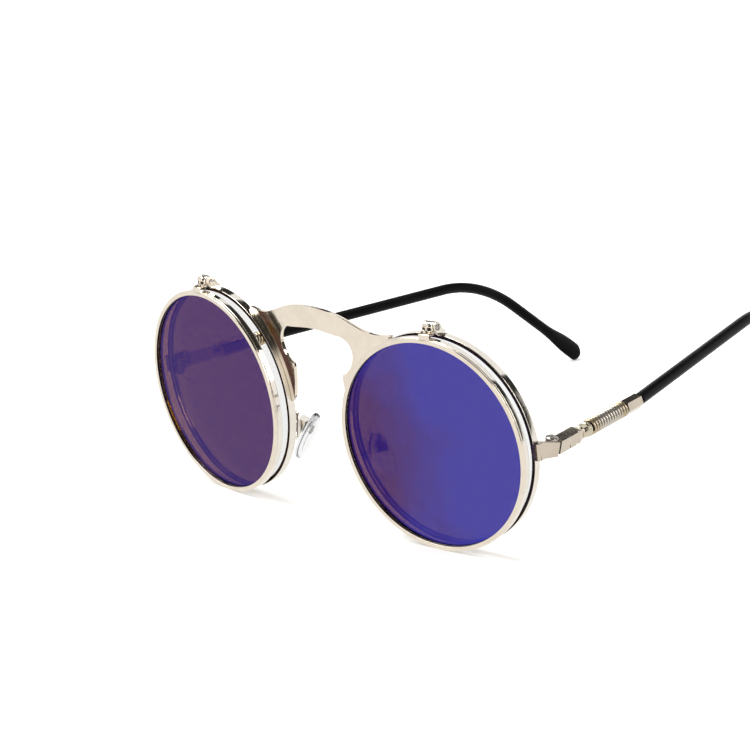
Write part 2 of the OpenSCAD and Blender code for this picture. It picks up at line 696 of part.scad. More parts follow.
module temple_core(fold) {
    color(BRASS) temple_frame(fold) {
        translate([core_x, 0, 0]) {
            rod_y(core_r, block_len + seam, sleeve_y - 0.2, FINE_FN);
            rod_y(core_r + 0.35, block_len + 0.3, collar_y + 0.1, FINE_FN);
            rod_y(spring_r - 0.1, collar_y, spring_y, FINE_FN);
        }
        translate(sleeve_start) rotate([0, 0, sleeve_bow]) rod_y(core_r - 0.05, -0.3, core_tail, FINE_FN);
    }
}

// The spring leaves each seat square to it, and its wire then winds round the core
WIRE_RINGS = 8;
WIRE_SIDES = 6;
coil_r = spring_r - spring_wire / 2;
lead = 1.6 * spring_wire;
coil_pitch = (spring_len - 2 * lead) / spring_turns;

function coil_point(turn) = [coil_r * cos(360 * turn), lead + coil_pitch * turn, coil_r * sin(360 * turn)];

spring_path = concat(
    [[coil_r, 0, 0], [coil_r, spring_wire, 0]],
    [for (k = [1:spring_turns * WIRE_RINGS - 1]) coil_point(k / WIRE_RINGS)],
    [[coil_r, spring_len - spring_wire, 0], [coil_r, spring_len, 0]]);

function wire_ring(i) =
    let(p = spring_path[i], out = unit([p.x, 0, p.z]),
        t = (i < 2 || i > len(spring_path) - 3) ? [0, 1, 0] : tangent(spring_path, i),
        u = unit(out - t * (out * t)), v = cross(t, u), r = spring_wire / 2)
    oval(p, u, v, r, r, WIRE_SIDES);

wire_gap = min([for (i = [0:len(spring_path) - 1], j = [i + WIRE_RINGS - 2:1:len(spring_path) - 1])
    norm(spring_path[i] - spring_path[j])]) - spring_wire;

module temple_spring(fold) {
    color(SILVER) temple_frame(fold) translate([core_x, spring_y, 0])
        skin([for (i = [0:len(spring_path) - 1]) wire_ring(i)]);
}

module temple_ferrule(fold) {
    cone = 0.9;
    color(SILVER) temple_frame(fold) translate([core_x, 0, 0]) difference() {
        intersection() {
            rod_y(ferrule_w / 2, ferrule_y, sleeve_y - 0.12, 6);
            union() {
                translate([0, ferrule_y, 0]) rotate([-90, 0, 0])
                    cylinder(r1 = spring_r - 0.2, r2 = ferrule_w / 2 + 0.3, h = cone, $fn = FINE_FN);
                rod_y(ferrule_w, ferrule_y + cone, sleeve_y);
            }
        }
        rod_y(core_r + seam, ferrule_y - CUT, sleeve_y + CUT, FINE_FN);
    }
}

// Sleeve with the bend over the ear and a flared, rounded end
SLEEVE_SIDES = 20;
END_STEPS = 5;
flare_len = 15;

function sleeve_grow(s) = smooth((s - sleeve_total + flare_len) / (flare_len - 3));
function sleeve_half_h(s) = lerp(sleeve_h / 2, tip_r, sleeve_grow(s));
function sleeve_half_w(s) = lerp(sleeve_w / 2, sleeve_w / 2 - 0.35, sleeve_grow(s));

function sleeve_ring(s, scale) = oval(sleeve_point(s), sleeve_side, sleeve_up(s),
    sleeve_half_w(s) * sqrt(scale), sleeve_half_h(s) * scale, SLEEVE_SIDES);

module temple_sleeve(fold) {
    nose = 0.8;
    stations = concat(
        [0.12, nose],
        [for (k = [1:5]) lerp(nose, sleeve_len, k / 5)],
        [for (k = [1:14]) sleeve_len + arc_len * k / 14],
        [for (k = [1:4]) sleeve_len + arc_len + (tip_len - flare_len) * k / 4],
        [for (k = [1:8]) sleeve_total - flare_len + flare_len * k / 8]);
    body = [for (s = stations) sleeve_ring(s, s < nose ? 0.85 : 1)];
    end = [for (k = [1:END_STEPS]) let(a = 84 * k / END_STEPS)
        [for (p = sleeve_ring(sleeve_total, cos(a))) p + sleeve_along(sleeve_total) * tip_r * sin(a)]];
    color(BLACK) temple_frame(fold) difference() {
        skin(concat(body, end));
        translate(sleeve_start) rotate([0, 0, sleeve_bow])
            rod_y(core_r + seam, -1, core_tail + 0.2, FINE_FN);
    }
}

module left() {
    stand() children();
}

module right() {
    stand() mirror([1, 0, 0]) children();
}

// Places that the joints, the resting points and the wire gap are read from
lens_x = [cos(wrap_angle), sin(wrap_angle), 0];
echo(wire_gap = wire_gap);
echo(stand_angle = stand_angle, stand_y = stand_y, stand_z = stand_z);
echo(flip_axis_point = to_world(rot_z([flip_hinge_x, flip_hinge_y, flip_hinge_z], wrap_angle)
    + [lens_half_distance, 0, 0]), flip_axis = rot_x(lens_x, stand_angle));
echo(fold_axis_point = to_world(temple_to_lens([0, 0, 0])),
    fold_axis = to_world(temple_to_lens([0, 0, 1])) - to_world(temple_to_lens([0, 0, 0])));
echo(pad_axis_point = to_world(pad_to_lens([pad_pin_x, 0, pad_box_z])),
    pad_axis = to_world(pad_to_lens([0, 1, 0])) - to_world(pad_to_lens([0, 0, 0])));
echo(tip_rest = to_world([-tip_centre.x, tip_centre.y, tip_centre.z]), pad_middle = to_world(pad_mid));

bridge_plate();
left() frame_rim();  // frame_rim_left
left() clear_lens();  // clear_lens_left
left() endpiece();  // endpiece_left
left() rim_lock();  // rim_lock_left
left() rim_lock_screw();  // rim_lock_screw_left
left() flip_bracket();  // flip_bracket_left
left() flip_hinge_screw();  // flip_hinge_screw_left
left() temple_hinge_screw();  // temple_hinge_screw_left
left() pad_arm();  // pad_arm_left
left() pad_box();  // pad_box_left
left() pad_screw();  // pad_screw_left
left() nose_pad();  // nose_pad_left
left() flip_plate();  // flip_plate_left
left() flip_rim();  // flip_rim_left
left() flip_lens();  // flip_lens_left
left() temple_block(fold_left);  // temple_block_left
left() temple_core(fold_left);  // temple_core_left
left() temple_spring(fold_left);  // temple_spring_left
left() temple_ferrule(fold_left);  // temple_ferrule_left
left() temple_sleeve(fold_left);  // temple_sleeve_left
right() frame_rim();  // frame_rim_right
right() clear_lens();  // clear_lens_right
right() endpiece();  // endpiece_right
right() rim_lock();  // rim_lock_right
right() rim_lock_screw();  // rim_lock_screw_right
right() flip_bracket();  // flip_bracket_right
right() flip_hinge_screw();  // flip_hinge_screw_right
right() temple_hinge_screw();  // temple_hinge_screw_right
right() pad_arm();  // pad_arm_right
right() pad_box();  // pad_box_right
right() pad_screw();  // pad_screw_right
right() nose_pad();  // nose_pad_right
right() flip_plate();  // flip_plate_right
right() flip_rim();  // flip_rim_right
right() flip_lens();  // flip_lens_right
right() temple_block(fold_right);  // temple_block_right
right() temple_core(fold_right);  // temple_core_right
right() temple_spring(fold_right);  // temple_spring_right
right() temple_ferrule(fold_right);  // temple_ferrule_right
right() temple_sleeve(fold_right);  // temple_sleeve_right
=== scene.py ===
"""Flip up sunglasses: round mirrored lenses hinged in front of clear ones.

The sizes are in millimetres in each sub-assembly's own frame, as in the part's
source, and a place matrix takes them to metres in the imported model's frame.
"""

import logging
import math
from dataclasses import dataclass, field
from enum import Enum
from typing import Callable, Iterable, Sequence

import bmesh
import bpy
from bmesh.types import BMesh, BMEdge, BMVert
from bpy.types import Material, Node, NodeSocket, Object
from mathutils import Matrix, Vector


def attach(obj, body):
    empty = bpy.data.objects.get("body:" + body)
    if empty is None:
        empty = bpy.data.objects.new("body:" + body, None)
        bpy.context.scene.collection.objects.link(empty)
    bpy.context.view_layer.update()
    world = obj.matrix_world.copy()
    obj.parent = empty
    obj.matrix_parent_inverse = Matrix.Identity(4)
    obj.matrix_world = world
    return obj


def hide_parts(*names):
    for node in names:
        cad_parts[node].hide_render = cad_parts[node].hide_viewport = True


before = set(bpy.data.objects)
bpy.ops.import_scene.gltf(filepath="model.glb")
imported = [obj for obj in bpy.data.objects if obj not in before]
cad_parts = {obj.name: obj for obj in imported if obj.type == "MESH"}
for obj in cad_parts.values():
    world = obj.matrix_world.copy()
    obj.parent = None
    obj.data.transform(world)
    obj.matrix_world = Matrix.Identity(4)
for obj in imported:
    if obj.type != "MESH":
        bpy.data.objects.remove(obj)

log = logging.getLogger("flip_up_sunglasses")
MM = 0.001
SQUARE_TO = 0.8  # least cosine between a face's normal and the way that it is said to look
Colour = tuple[float, float, float, float]


class Side(Enum):
    """The wearer's side that a piece belongs to."""

    LEFT = "left"
    RIGHT = "right"

    def turn(self) -> Matrix:
        """Returns the reflection that takes a left piece to this side."""
        return Matrix.Diagonal((1 if self is Side.LEFT else -1, 1, 1, 1))

    def node(self, name: str) -> str:
        """Returns the name of this side's CAD node or body."""
        return f"{name}_{self.value}"


class Slot(Enum):
    """The record's material slots."""

    BRIDGE = "bridge_metal"
    RIM = "rim_metal"
    DARK = "dark_metal"
    GOLD = "gold_metal"
    SPRING = "spring_metal"
    MIRROR = "mirror_lens"
    CLEAR = "clear_lens"
    PAD = "pad_silicone"
    SLEEVE = "black_sleeve"


def turned(degrees: float, axis: str) -> Matrix:
    """Returns the matrix of a turn in degrees about an axis."""
    return Matrix.Rotation(math.radians(degrees), 4, axis)


@dataclass(frozen=True)
class Layout:
    """Where the lenses, hinges and pads sit, in the frame of the lenses."""

    stand_angle: float = 8.98326
    stand_y: float = -3.75531
    stand_z: float = 23.7595
    lens_half_distance: float = 34.6
    wrap_angle: float = 7.1
    temple_hinge: Vector = field(default_factory=lambda: Vector((57.8656, 12.0, 0.15)))
    hinge_lean: float = 10.0
    temple_splay: float = 9.5
    temple_drop: float = 8.7
    left_fold: float = 20.9
    pad_middle: Vector = field(default_factory=lambda: Vector((11.6, 6.75, -8.7)))
    pad_splay: float = 20.0
    pad_frontal: float = 29.0

    def stand(self) -> Matrix:
        """Returns the lens frame's place as the glasses stand, in millimetres."""
        return Matrix.Translation((0, self.stand_y, self.stand_z)) @ turned(self.stand_angle, "X")

    def face(self, side: Side) -> Matrix:
        """Returns the place of a side's half of the front, to metres."""
        return Matrix.Scale(MM, 4) @ self.stand() @ side.turn()

    def lens(self, side: Side) -> Matrix:
        """Returns the place of a lens, whose axis is Y."""
        return (self.face(side) @ Matrix.Translation((self.lens_half_distance, 0, 0))
                @ turned(self.wrap_angle, "Z"))

    def hinge(self, side: Side) -> Matrix:
        """Places a temple's hinge, with the hinge's axis as Z.

        Args:
            side: the temple's side.

        Returns:
            From the hinge's frame to metres.
        """
        return (self.face(side) @ Matrix.Translation(self.temple_hinge)
                @ turned(-self.temple_splay, "Z") @ turned(-self.temple_drop, "X")
                @ turned(self.hinge_lean, "Y"))

    def temple(self, side: Side) -> Matrix:
        """Returns the place of a temple as it rests, with Y along it."""
        return self.hinge(side) @ turned(self.left_fold if side is Side.LEFT else 0, "Z")

    def pad(self, side: Side) -> Matrix:
        """Returns the place of a nose pad, with X through its thickness."""
        return (self.face(side) @ Matrix.Translation(self.pad_middle)
                @ turned(-self.pad_splay, "Z") @ turned(-self.pad_frontal, "Y"))


LAYOUT = Layout()


# Mesh making


def extruded_ring(grown: Iterable) -> tuple[list[BMVert], list[BMEdge]]:
    """Picks the new ring out of what an edge extrusion made.

    Args:
        grown: the geometry that the extrusion returned.

    Returns:
        The ring's vertices and the edges between them.
    """
    grown = list(grown)
    verts = [g for g in grown if isinstance(g, BMVert)]
    known = set(verts)
    edges = [g for g in grown if isinstance(g, BMEdge) and set(g.verts) <= known]
    return verts, edges


def close_ends(bm: BMesh) -> None:
    """Fills every open loop of a mesh."""
    open_edges = [e for e in bm.edges if e.is_boundary]
    bmesh.ops.holes_fill(bm, edges=open_edges, sides=0)


def round_corners(bm: BMesh, corners: Sequence[tuple[BMVert, float]], segments: int = 3) -> None:
    """Rounds corners of a flat outline.

    Args:
        bm: the mesh that holds the outline's face.
        corners: each vertex with the size of its rounding, 0 for a sharp one.
        segments: how many edges a rounded corner gets.
    """
    for size in sorted({size for _, size in corners if size > 0}):
        verts = [v for v, own in corners if own == size]
        bmesh.ops.bevel(bm, geom=verts, offset=size, offset_type="OFFSET", segments=segments,
                        profile=0.5, affect="VERTICES", material=-1)


def lathe(outline: Sequence[tuple[float, float, float]], steps: int = 192,
          gap: float = 0.0) -> BMesh:
    """Spins a closed outline about the Y axis.

    Args:
        outline: radius, depth and rounding of each corner.
        steps: how many steps make the turn.
        gap: angle in degrees left open at the side of +X.

    Returns:
        The closed solid.
    """
    bm = bmesh.new()
    verts = [bm.verts.new((radius, depth, 0)) for radius, depth, _ in outline]
    bm.faces.new(verts)
    round_corners(bm, [(v, o[2]) for v, o in zip(verts, outline)])
    bmesh.ops.delete(bm, geom=bm.faces[:], context="FACES_ONLY")
    bmesh.ops.rotate(bm, verts=bm.verts[:], cent=(0, 0, 0),
                     matrix=Matrix.Rotation(math.radians(gap / 2), 3, "Y"))
    bmesh.ops.spin(bm, geom=bm.verts[:] + bm.edges[:], cent=(0, 0, 0), axis=(0, 1, 0),
                   dvec=(0, 0, 0), angle=math.radians(360 - gap), steps=steps,
                   use_merge=gap == 0, use_duplicate=False)
    bmesh.ops.remove_doubles(bm, verts=bm.verts[:], dist=1e-5)
    close_ends(bm)
    return bm


def sweep(stations: Sequence[Matrix], sides: int) -> BMesh:
    """Carries a circle of radius 1 through a row of stations.

    Args:
        stations: matrices whose X and Y span each section and whose Z runs on.
        sides: how many edges the circle has.

    Returns:
        The closed solid.
    """
    bm = bmesh.new()
    bmesh.ops.create_circle(bm, cap_ends=False, radius=1.0, segments=sides)
    bmesh.ops.transform(bm, matrix=stations[0], verts=bm.verts[:])
    ring = bm.edges[:]
    for before, after in zip(stations, stations[1:]):
        grown = bmesh.ops.extrude_edge_only(bm, edges=ring)["geom"]
        verts, ring = extruded_ring(grown)
        bmesh.ops.transform(bm, matrix=after @ before.inverted(), verts=verts)
    close_ends(bm)
    return bm


def slab(outline: Sequence[tuple[float, float]], low: float, high: float,
         roundings: Sequence[float] | None = None, place: Matrix | None = None) -> BMesh:
    """Makes a flat outline into a plate.

    Args:
        outline: the corners in the plate's plane, X and Z.
        low: the depth in Y of the plate's front.
        high: the depth in Y of its back.
        roundings: the rounding of each corner.
        place: a matrix for the finished plate.

    Returns:
        The closed solid.
    """
    bm = bmesh.new()
    verts = [bm.verts.new((x, low, z)) for x, z in outline]
    bm.faces.new(verts)
    if roundings is not None:
        round_corners(bm, list(zip(verts, roundings)), 4)
    grown = bmesh.ops.extrude_face_region(bm, geom=bm.faces[:])["geom"]
    moved = [g for g in grown if isinstance(g, BMVert)]
    bmesh.ops.translate(bm, vec=(0, high - low, 0), verts=moved)
    if place is not None:
        bmesh.ops.transform(bm, matrix=place, verts=bm.verts[:])
    return bm


def soften(bm: BMesh, width: float, segments: int = 2, angle: float = 35.0) -> BMesh:
    """Rounds every edge that is sharper than an angle.

    Args:
        bm: the solid.
        width: the width of the rounding.
        segments: how many faces it has.
        angle: the least angle in degrees between two faces.

    Returns:
        The same mesh.
    """
    bmesh.ops.recalc_face_normals(bm, faces=bm.faces[:])
    sharp = [e for e in bm.edges if e.is_manifold and e.calc_face_angle(0) > math.radians(angle)]
    bmesh.ops.bevel(bm, geom=sharp, offset=width, offset_type="OFFSET", segments=segments,
                    profile=0.5, affect="EDGES", clamp_overlap=True, material=-1)
    return bm


def joined(parts: Sequence[BMesh]) -> BMesh:
    """Puts several solids in one mesh, and frees them.

    Args:
        parts: the solids.

    Returns:
        The mesh.
    """
    whole = bmesh.new()
    for part in parts:
        mesh = bpy.data.meshes.new("part")
        part.to_mesh(mesh)
        part.free()
        whole.from_mesh(mesh)
        bpy.data.meshes.remove(mesh)
    return whole


def curve_through(knots: Sequence[Vector], steps: int) -> list[Vector]:
    """Lays a smooth curve through knots.

    Args:
        knots: the points, of which the first and last only steer the curve.
        steps: how many steps each stretch gets.

    Returns:
        Points from the second knot to the last but one.
    """
    points = []
    for a, b, c, d in zip(knots, knots[1:], knots[2:], knots[3:]):
        for k in range(steps):
            t = k / steps
            points.append(0.5 * (2 * b + (c - a) * t + (2 * a - 5 * b + 4 * c - d) * t ** 2
                                 + (3 * b - a - 3 * c + d) * t ** 3))
    return points + [knots[-2]]


def stations_on(points: Sequence[Vector], radius: float) -> list[Matrix]:
    """Sets up a round wire that follows points.

    Args:
        points: the wire's middle line.
        radius: the wire's radius.

    Returns:
        A station at each point, for a sweep.
    """
    side = Vector((1, 0, 0.3)).normalized()
    stations = []
    for i, point in enumerate(points):
        ahead = (points[min(i + 1, len(points) - 1)] - points[max(i - 1, 0)]).normalized()
        across = (side - ahead * side.dot(ahead)).normalized()
        side = across
        basis = Matrix((across * radius, ahead.cross(across) * radius, ahead)).transposed()
        stations.append(Matrix.Translation(point) @ basis.to_4x4())
    return stations


def smooth_step(value: float) -> float:
    """Returns a value eased from 0 to 1."""
    value = min(max(value, 0.0), 1.0)
    return value * value * (3 - 2 * value)


# Finishes


class Shader:
    """Adds the nodes of one material."""

    def __init__(self, name: str) -> None:
        """Starts a material with its Principled node.

        Args:
            name: the material's name.
        """
        self.material: Material = bpy.data.materials.new(name)
        self.material.use_nodes = True
        self.tree = self.material.node_tree
        self.surface = next(n for n in self.tree.nodes if n.type == "BSDF_PRINCIPLED")
        self.output = next(n for n in self.tree.nodes if n.type == "OUTPUT_MATERIAL")

    def node(self, kind: str, inputs: dict | None = None, **settings: object) -> Node:
        """Adds a node.

        Args:
            kind: the node's type.
            inputs: values or sockets for its inputs, by name or number.
            **settings: its other properties.

        Returns:
            The node.
        """
        made = self.tree.nodes.new(kind)
        for key, value in settings.items():
            setattr(made, key, value)
        for key, value in (inputs or {}).items():
            self.feed(made.inputs[key], value)
        return made

    def feed(self, socket: NodeSocket, value: object) -> None:
        """Sets a socket to a value, or links it to another socket.

        Args:
            socket: the input.
            value: the number, colour or socket.
        """
        if isinstance(value, NodeSocket):
            self.tree.links.new(value, socket)
        else:
            socket.default_value = value

    def principled(self, **values: object) -> None:
        """Sets inputs of the Principled node, with _ for a space in a name."""
        for key, value in values.items():
            self.feed(self.surface.inputs[key.replace("_", " ")], value)

    def place(self, stretch: tuple[float, float, float] = (1, 1, 1)) -> NodeSocket:
        """Returns the object's own coordinates, stretched."""
        source = self.node("ShaderNodeTexCoord").outputs["Object"]
        return self.node("ShaderNodeMapping", {"Vector": source, "Scale": stretch}).outputs[0]

    def noise(self, scale: float, detail: float = 4.0, rough: float = 0.55,
              stretch: tuple[float, float, float] = (1, 1, 1)) -> NodeSocket:
        """Adds a noise pattern.

        Args:
            scale: how many waves there are in a metre.
            detail: how many finer layers it has.
            rough: how strong the finer layers are.
            stretch: the scale along each axis.

        Returns:
            The pattern's value.
        """
        return self.node("ShaderNodeTexNoise", {
            "Vector": self.place(stretch), "Scale": scale, "Detail": detail,
            "Roughness": rough}).outputs["Fac"]

    def between(self, value: NodeSocket, low: float, high: float, start: float = 0.3,
                end: float = 0.7) -> NodeSocket:
        """Carries a value from one range to another.

        Args:
            value: the value.
            low: what the start becomes.
            high: what the end becomes.
            start: where the old range starts.
            end: where it ends.

        Returns:
            The value in the new range.
        """
        return self.node("ShaderNodeMapRange", {
            "Value": value, "From Min": start, "From Max": end, "To Min": low,
            "To Max": high}).outputs["Result"]

    def ramp(self, value: NodeSocket, stops: Sequence[tuple[float, Colour]]) -> NodeSocket:
        """Picks a colour by a value.

        Args:
            value: the value.
            stops: the colours with their positions.

        Returns:
            The colour.
        """
        made = self.node("ShaderNodeValToRGB", {"Fac": value})
        elements = made.color_ramp.elements
        while len(elements) < len(stops):
            elements.new(0.5)
        for element, (position, colour) in zip(elements, stops):
            element.position = position
            element.color = colour
        return made.outputs["Color"]

    def bump(self, height: NodeSocket, distance: float, strength: float = 1.0) -> None:
        """Raises the surface by a pattern.

        Args:
            height: the pattern.
            distance: the height in metres of a full step of it.
            strength: the share of it that shows.
        """
        made = self.node("ShaderNodeBump", {
            "Height": height, "Distance": distance, "Strength": strength})
        self.principled(Normal=made.outputs["Normal"])

    def lay_over_film(self, share: float, tint: object) -> None:
        """Makes the surface a share of its gloss over a tinted film.

        Args:
            share: the share of the gloss.
            tint: the film's colour or the socket that gives it.
        """
        film = self.node("ShaderNodeBsdfTransparent", {"Color": tint}).outputs[0]
        mix = self.node("ShaderNodeMixShader", {0: share, 1: film, 2: self.surface.outputs[0]})
        self.feed(self.output.inputs["Surface"], mix.outputs[0])

    def let_lamps_through(self, tint: Colour) -> None:
        """Lets light rays pass the surface, as thin clear walls do.

        Args:
            tint: the colour that they take on.
        """
        path = self.node("ShaderNodeLightPath").outputs["Is Shadow Ray"]
        film = self.node("ShaderNodeBsdfTransparent", {"Color": tint}).outputs[0]
        mix = self.node("ShaderNodeMixShader", {0: path, 1: self.surface.outputs[0], 2: film})
        self.feed(self.output.inputs["Surface"], mix.outputs[0])


@dataclass(frozen=True)
class PlatedMetal:
    """Polished plating with fine wipe marks and a faint cloudiness."""

    name: str
    colour: Colour
    shade: Colour
    roughness: tuple[float, float] = (0.07, 0.16)
    cloud_scale: float = 260.0
    wear_scale: float = 1900.0
    scratch_scale: float = 2600.0
    scratch_height: float = 0.0000012

    def build(self) -> Material:
        """Makes the plating, clouded and finely scratched.

        Returns:
            The material.
        """
        shader = Shader(self.name)
        cloud = shader.noise(self.cloud_scale, 5)
        wear = shader.noise(self.wear_scale, 3)
        shader.principled(
            Metallic=1.0,
            Base_Color=shader.ramp(cloud, [(0.36, self.shade), (0.58, self.colour)]),
            Roughness=shader.between(wear, *self.roughness))
        scratches = shader.noise(self.scratch_scale, 2, 0.6, (1, 1, 0.12))
        shader.bump(scratches, self.scratch_height, 0.5)
        return shader.material


@dataclass(frozen=True)
class TintedWire:
    """Plating whose colour follows the attribute along: a tint on the spring, painted shade on the
    core and the skull.
    """

    name: str
    stops: tuple[tuple[float, Colour], ...]
    unevenness: float = 0.0
    roughness: tuple[float, float] = (0.09, 0.2)
    patch_scale: float = 420.0
    wear_scale: float = 2100.0
    scratch_scale: float = 5200.0
    scratch_height: float = 0.0000012

    def build(self) -> Material:
        """Makes the plating, which reads the attribute along.

        Returns:
            The material.
        """
        shader = Shader(self.name)
        along = shader.node("ShaderNodeAttribute", attribute_name="along").outputs["Fac"]
        patches = shader.noise(self.patch_scale, 4)
        uneven = shader.between(patches, -self.unevenness, self.unevenness)
        moved = shader.node("ShaderNodeMath", {0: along, 1: uneven}, operation="ADD").outputs[0]
        shader.principled(
            Metallic=1.0,
            Base_Color=shader.ramp(moved, self.stops),
            Roughness=shader.between(shader.noise(self.wear_scale, 3), *self.roughness))
        shader.bump(shader.noise(self.scratch_scale, 2, 0.6), self.scratch_height, 0.4)
        return shader.material


@dataclass(frozen=True)
class MirrorCoat:
    """Front of the tinted lens: a violet mirror coat, turned a brighter blue towards +X and
    upwards by a painted reflection.
    """

    name: str = "mirror_coat"
    violet: Colour = (0.052, 0.022, 0.36, 1)
    blue: Colour = (0.10, 0.105, 0.86, 1)
    violet_film: Colour = (0.20, 0.108, 0.014, 1)
    blue_film: Colour = (0.10, 0.076, 0.012, 1)
    share: float = 0.42
    shift_start: float = 0.024
    shift_end: float = 0.046
    lean: float = 0.3
    stray: float = 0.006
    ripple: float = 0.000002

    def build(self) -> Material:
        """Makes the coat: a share of coloured mirror over a tinted film.

        Returns:
            The material.
        """
        shader = Shader(self.name)
        # Partly coat colour, partly painted reflection: colour and film tint run from violet to a
        # brighter blue along X, a little up Z.
        axes = shader.node("ShaderNodeSeparateXYZ", {"Vector": shader.place()})
        rise = shader.node("ShaderNodeMath", {0: axes.outputs["Z"], 1: self.lean,
                                              2: axes.outputs["X"]},
                           operation="MULTIPLY_ADD").outputs[0]
        uneven = shader.between(shader.noise(55, 3), -self.stray, self.stray)
        slope = shader.node("ShaderNodeMath", {0: rise, 1: uneven}, operation="ADD").outputs[0]
        shift = shader.between(slope, 0.0, 1.0, self.shift_start, self.shift_end)
        shader.principled(
            Metallic=1.0,
            Base_Color=shader.ramp(shift, [(0.0, self.violet), (1.0, self.blue)]),
            Roughness=shader.between(shader.noise(70, 2), 0.012, 0.03))
        shader.bump(shader.noise(120, 1), self.ripple, 0.15)
        tint = shader.ramp(shift, [(0.0, self.violet_film), (1.0, self.blue_film)])
        shader.lay_over_film(self.share, tint)
        return shader.material


@dataclass(frozen=True)
class TintedBack:
    """Back and edge of the tinted lens: brown, with a plain gloss."""

    name: str = "tinted_back"
    gloss: Colour = (0.30, 0.24, 0.22, 1)
    film: Colour = (0.80, 0.74, 0.62, 1)
    share: float = 0.06
    ripple: float = 0.000002

    def build(self) -> Material:
        """Makes the lens' back: a little gloss over a tinted film.

        Returns:
            The material.
        """
        shader = Shader(self.name)
        shader.principled(Metallic=1.0, Base_Color=self.gloss,
                          Roughness=shader.between(shader.noise(90, 2), 0.02, 0.05))
        shader.bump(shader.noise(140, 1), self.ripple, 0.15)
        shader.lay_over_film(self.share, self.film)
        return shader.material


@dataclass(frozen=True)
class ClearResin:
    """Clear lens or pad material."""

    name: str
    colour: Colour
    index: float
    roughness: tuple[float, float]
    ripple: float

    def build(self) -> Material:
        """Makes the clear material, with a faint ripple.

        Returns:
            The material.
        """
        shader = Shader(self.name)
        shader.principled(
            Base_Color=self.colour, Transmission_Weight=1.0, IOR=self.index,
            Roughness=shader.between(shader.noise(300, 3), *self.roughness))
        shader.bump(shader.noise(160, 2), self.ripple, 0.3)
        shader.let_lamps_through(self.colour)
        return shader.material


@dataclass(frozen=True)
class GlossySleeve:
    """Black moulded sleeve with a soft gloss and a faint flow texture."""

    name: str = "glossy_black_sleeve"
    colour: Colour = (0.002, 0.002, 0.0023, 1)
    worn: Colour = (0.0048, 0.0046, 0.005, 1)
    roughness: tuple[float, float] = (0.16, 0.26)
    gloss: float = 0.035
    flow_height: float = 0.000006

    def build(self) -> Material:
        """Makes the black material, with a faint flow texture.

        Returns:
            The material.
        """
        shader = Shader(self.name)
        shader.principled(
            Base_Color=shader.ramp(shader.noise(90, 5), [(0.4, self.colour), (0.75, self.worn)]),
            Roughness=shader.between(shader.noise(480, 4), *self.roughness),
            Specular_IOR_Level=self.gloss)
        shader.bump(shader.noise(900, 3, 0.6), self.flow_height, 0.35)
        return shader.material


def paint_shade(piece: Object, finish: Material, place: Matrix,
                  painted_shade: Callable[[Vector, Vector], bool]) -> None:
    """Paints shade onto some of a piece's faces with a darker plating.

    Args:
        piece: the piece.
        finish: the darker plating that paints the shade.
        place: from the frame that the test uses to metres.
        painted_shade: tells from a face's middle and normal whether it is one of them.
    """
    back = place.inverted()
    turn = back.to_3x3().normalized()
    index = len(piece.data.materials)
    piece.data.materials.append(finish)
    for face in piece.data.polygons:
        if painted_shade(back @ face.center, (turn @ face.normal).normalized()):
            face.material_index = index


@dataclass
class Finishes:
    """Every finish of the glasses, by material slot."""

    made: dict[Slot, Material] = field(default_factory=dict)
    side: Material | None = None
    lens_back: Material | None = None
    painted_shade: Material | None = None
    gap: Material | None = None
    skull: Material | None = None

    def build(self) -> None:
        """Makes each material once."""
        warm = (0.84, 0.755, 0.64, 1)
        gold, wire = (0.50, 0.39, 0.23, 1), (0.60, 0.555, 0.49, 1)
        seat, shadow = (0.62, 0.545, 0.42, 1), (0.03, 0.025, 0.02, 1)
        # Painted shade for the skull's pressed hollows: half dark, then near black.
        painted_half_shade, painted_deep_shade = (0.34, 0.30, 0.25, 1), (0.03, 0.027, 0.023, 1)
        self.lens_back = TintedBack().build()
        # Near-black copy of the plating: painted shade in the lens openings and in the seams
        # between claws and temple blocks.
        self.painted_shade = PlatedMetal("painted_shade_plate", (0.11, 0.10, 0.09, 1), (0.05, 0.045, 0.04, 1),
                                  roughness=(0.2, 0.35)).build()
        # The warm plating darkened by about a quarter: painted shade on the claws, the temple
        # blocks and the ferrules.
        self.side = PlatedMetal("painted_shade_side_plate", (0.64, 0.56, 0.465, 1),
                                (0.60, 0.525, 0.435, 1)).build()
        # Dark brown copy of the plating: painted shade in the gap between the flip and frame rims,
        # and on the ferrules' tops.
        self.gap = PlatedMetal("painted_gap_shade", (0.20, 0.165, 0.13, 1),
                               (0.13, 0.105, 0.08, 1)).build()
        # The skull darkens with how deep the press went: painted shade in its eyes, nose and
        # mouth.
        self.skull = TintedWire("skull_painted_shade",
                                ((0.06, warm), (0.30, painted_half_shade), (0.62, painted_deep_shade))).build()
        self.made = {
            Slot.BRIDGE: PlatedMetal("warm_plate", warm, (0.80, 0.715, 0.605, 1)).build(),
            Slot.RIM: PlatedMetal("bright_plate", (0.85, 0.80, 0.725, 1), (0.80, 0.75, 0.67, 1),
                                  roughness=(0.05, 0.12)).build(),
            Slot.DARK: PlatedMetal("screw_steel", (0.5, 0.47, 0.43, 1), (0.34, 0.32, 0.30, 1),
                                   roughness=(0.18, 0.32), scratch_scale=5200.0,
                                   scratch_height=0.000004).build(),
            Slot.GOLD: TintedWire("core_seat",
                                  ((0.004, seat), (0.02, shadow), (0.9, shadow))).build(),
            Slot.SPRING: TintedWire("spring_plate", ((0.02, gold), (0.3, wire), (0.72, wire),
                                                     (0.97, gold)), 0.05).build(),
            Slot.MIRROR: MirrorCoat().build(),
            Slot.CLEAR: ClearResin("clear_resin", (0.97, 0.985, 0.99, 1), index=1.45,
                                   roughness=(0.0, 0.01), ripple=0.000002).build(),
            Slot.PAD: ClearResin("clear_silicone", (0.93, 0.95, 0.96, 1), index=1.41,
                                 roughness=(0.06, 0.14), ripple=0.00002).build(),
            Slot.SLEEVE: GlossySleeve().build(),
        }


FINISHES = Finishes()


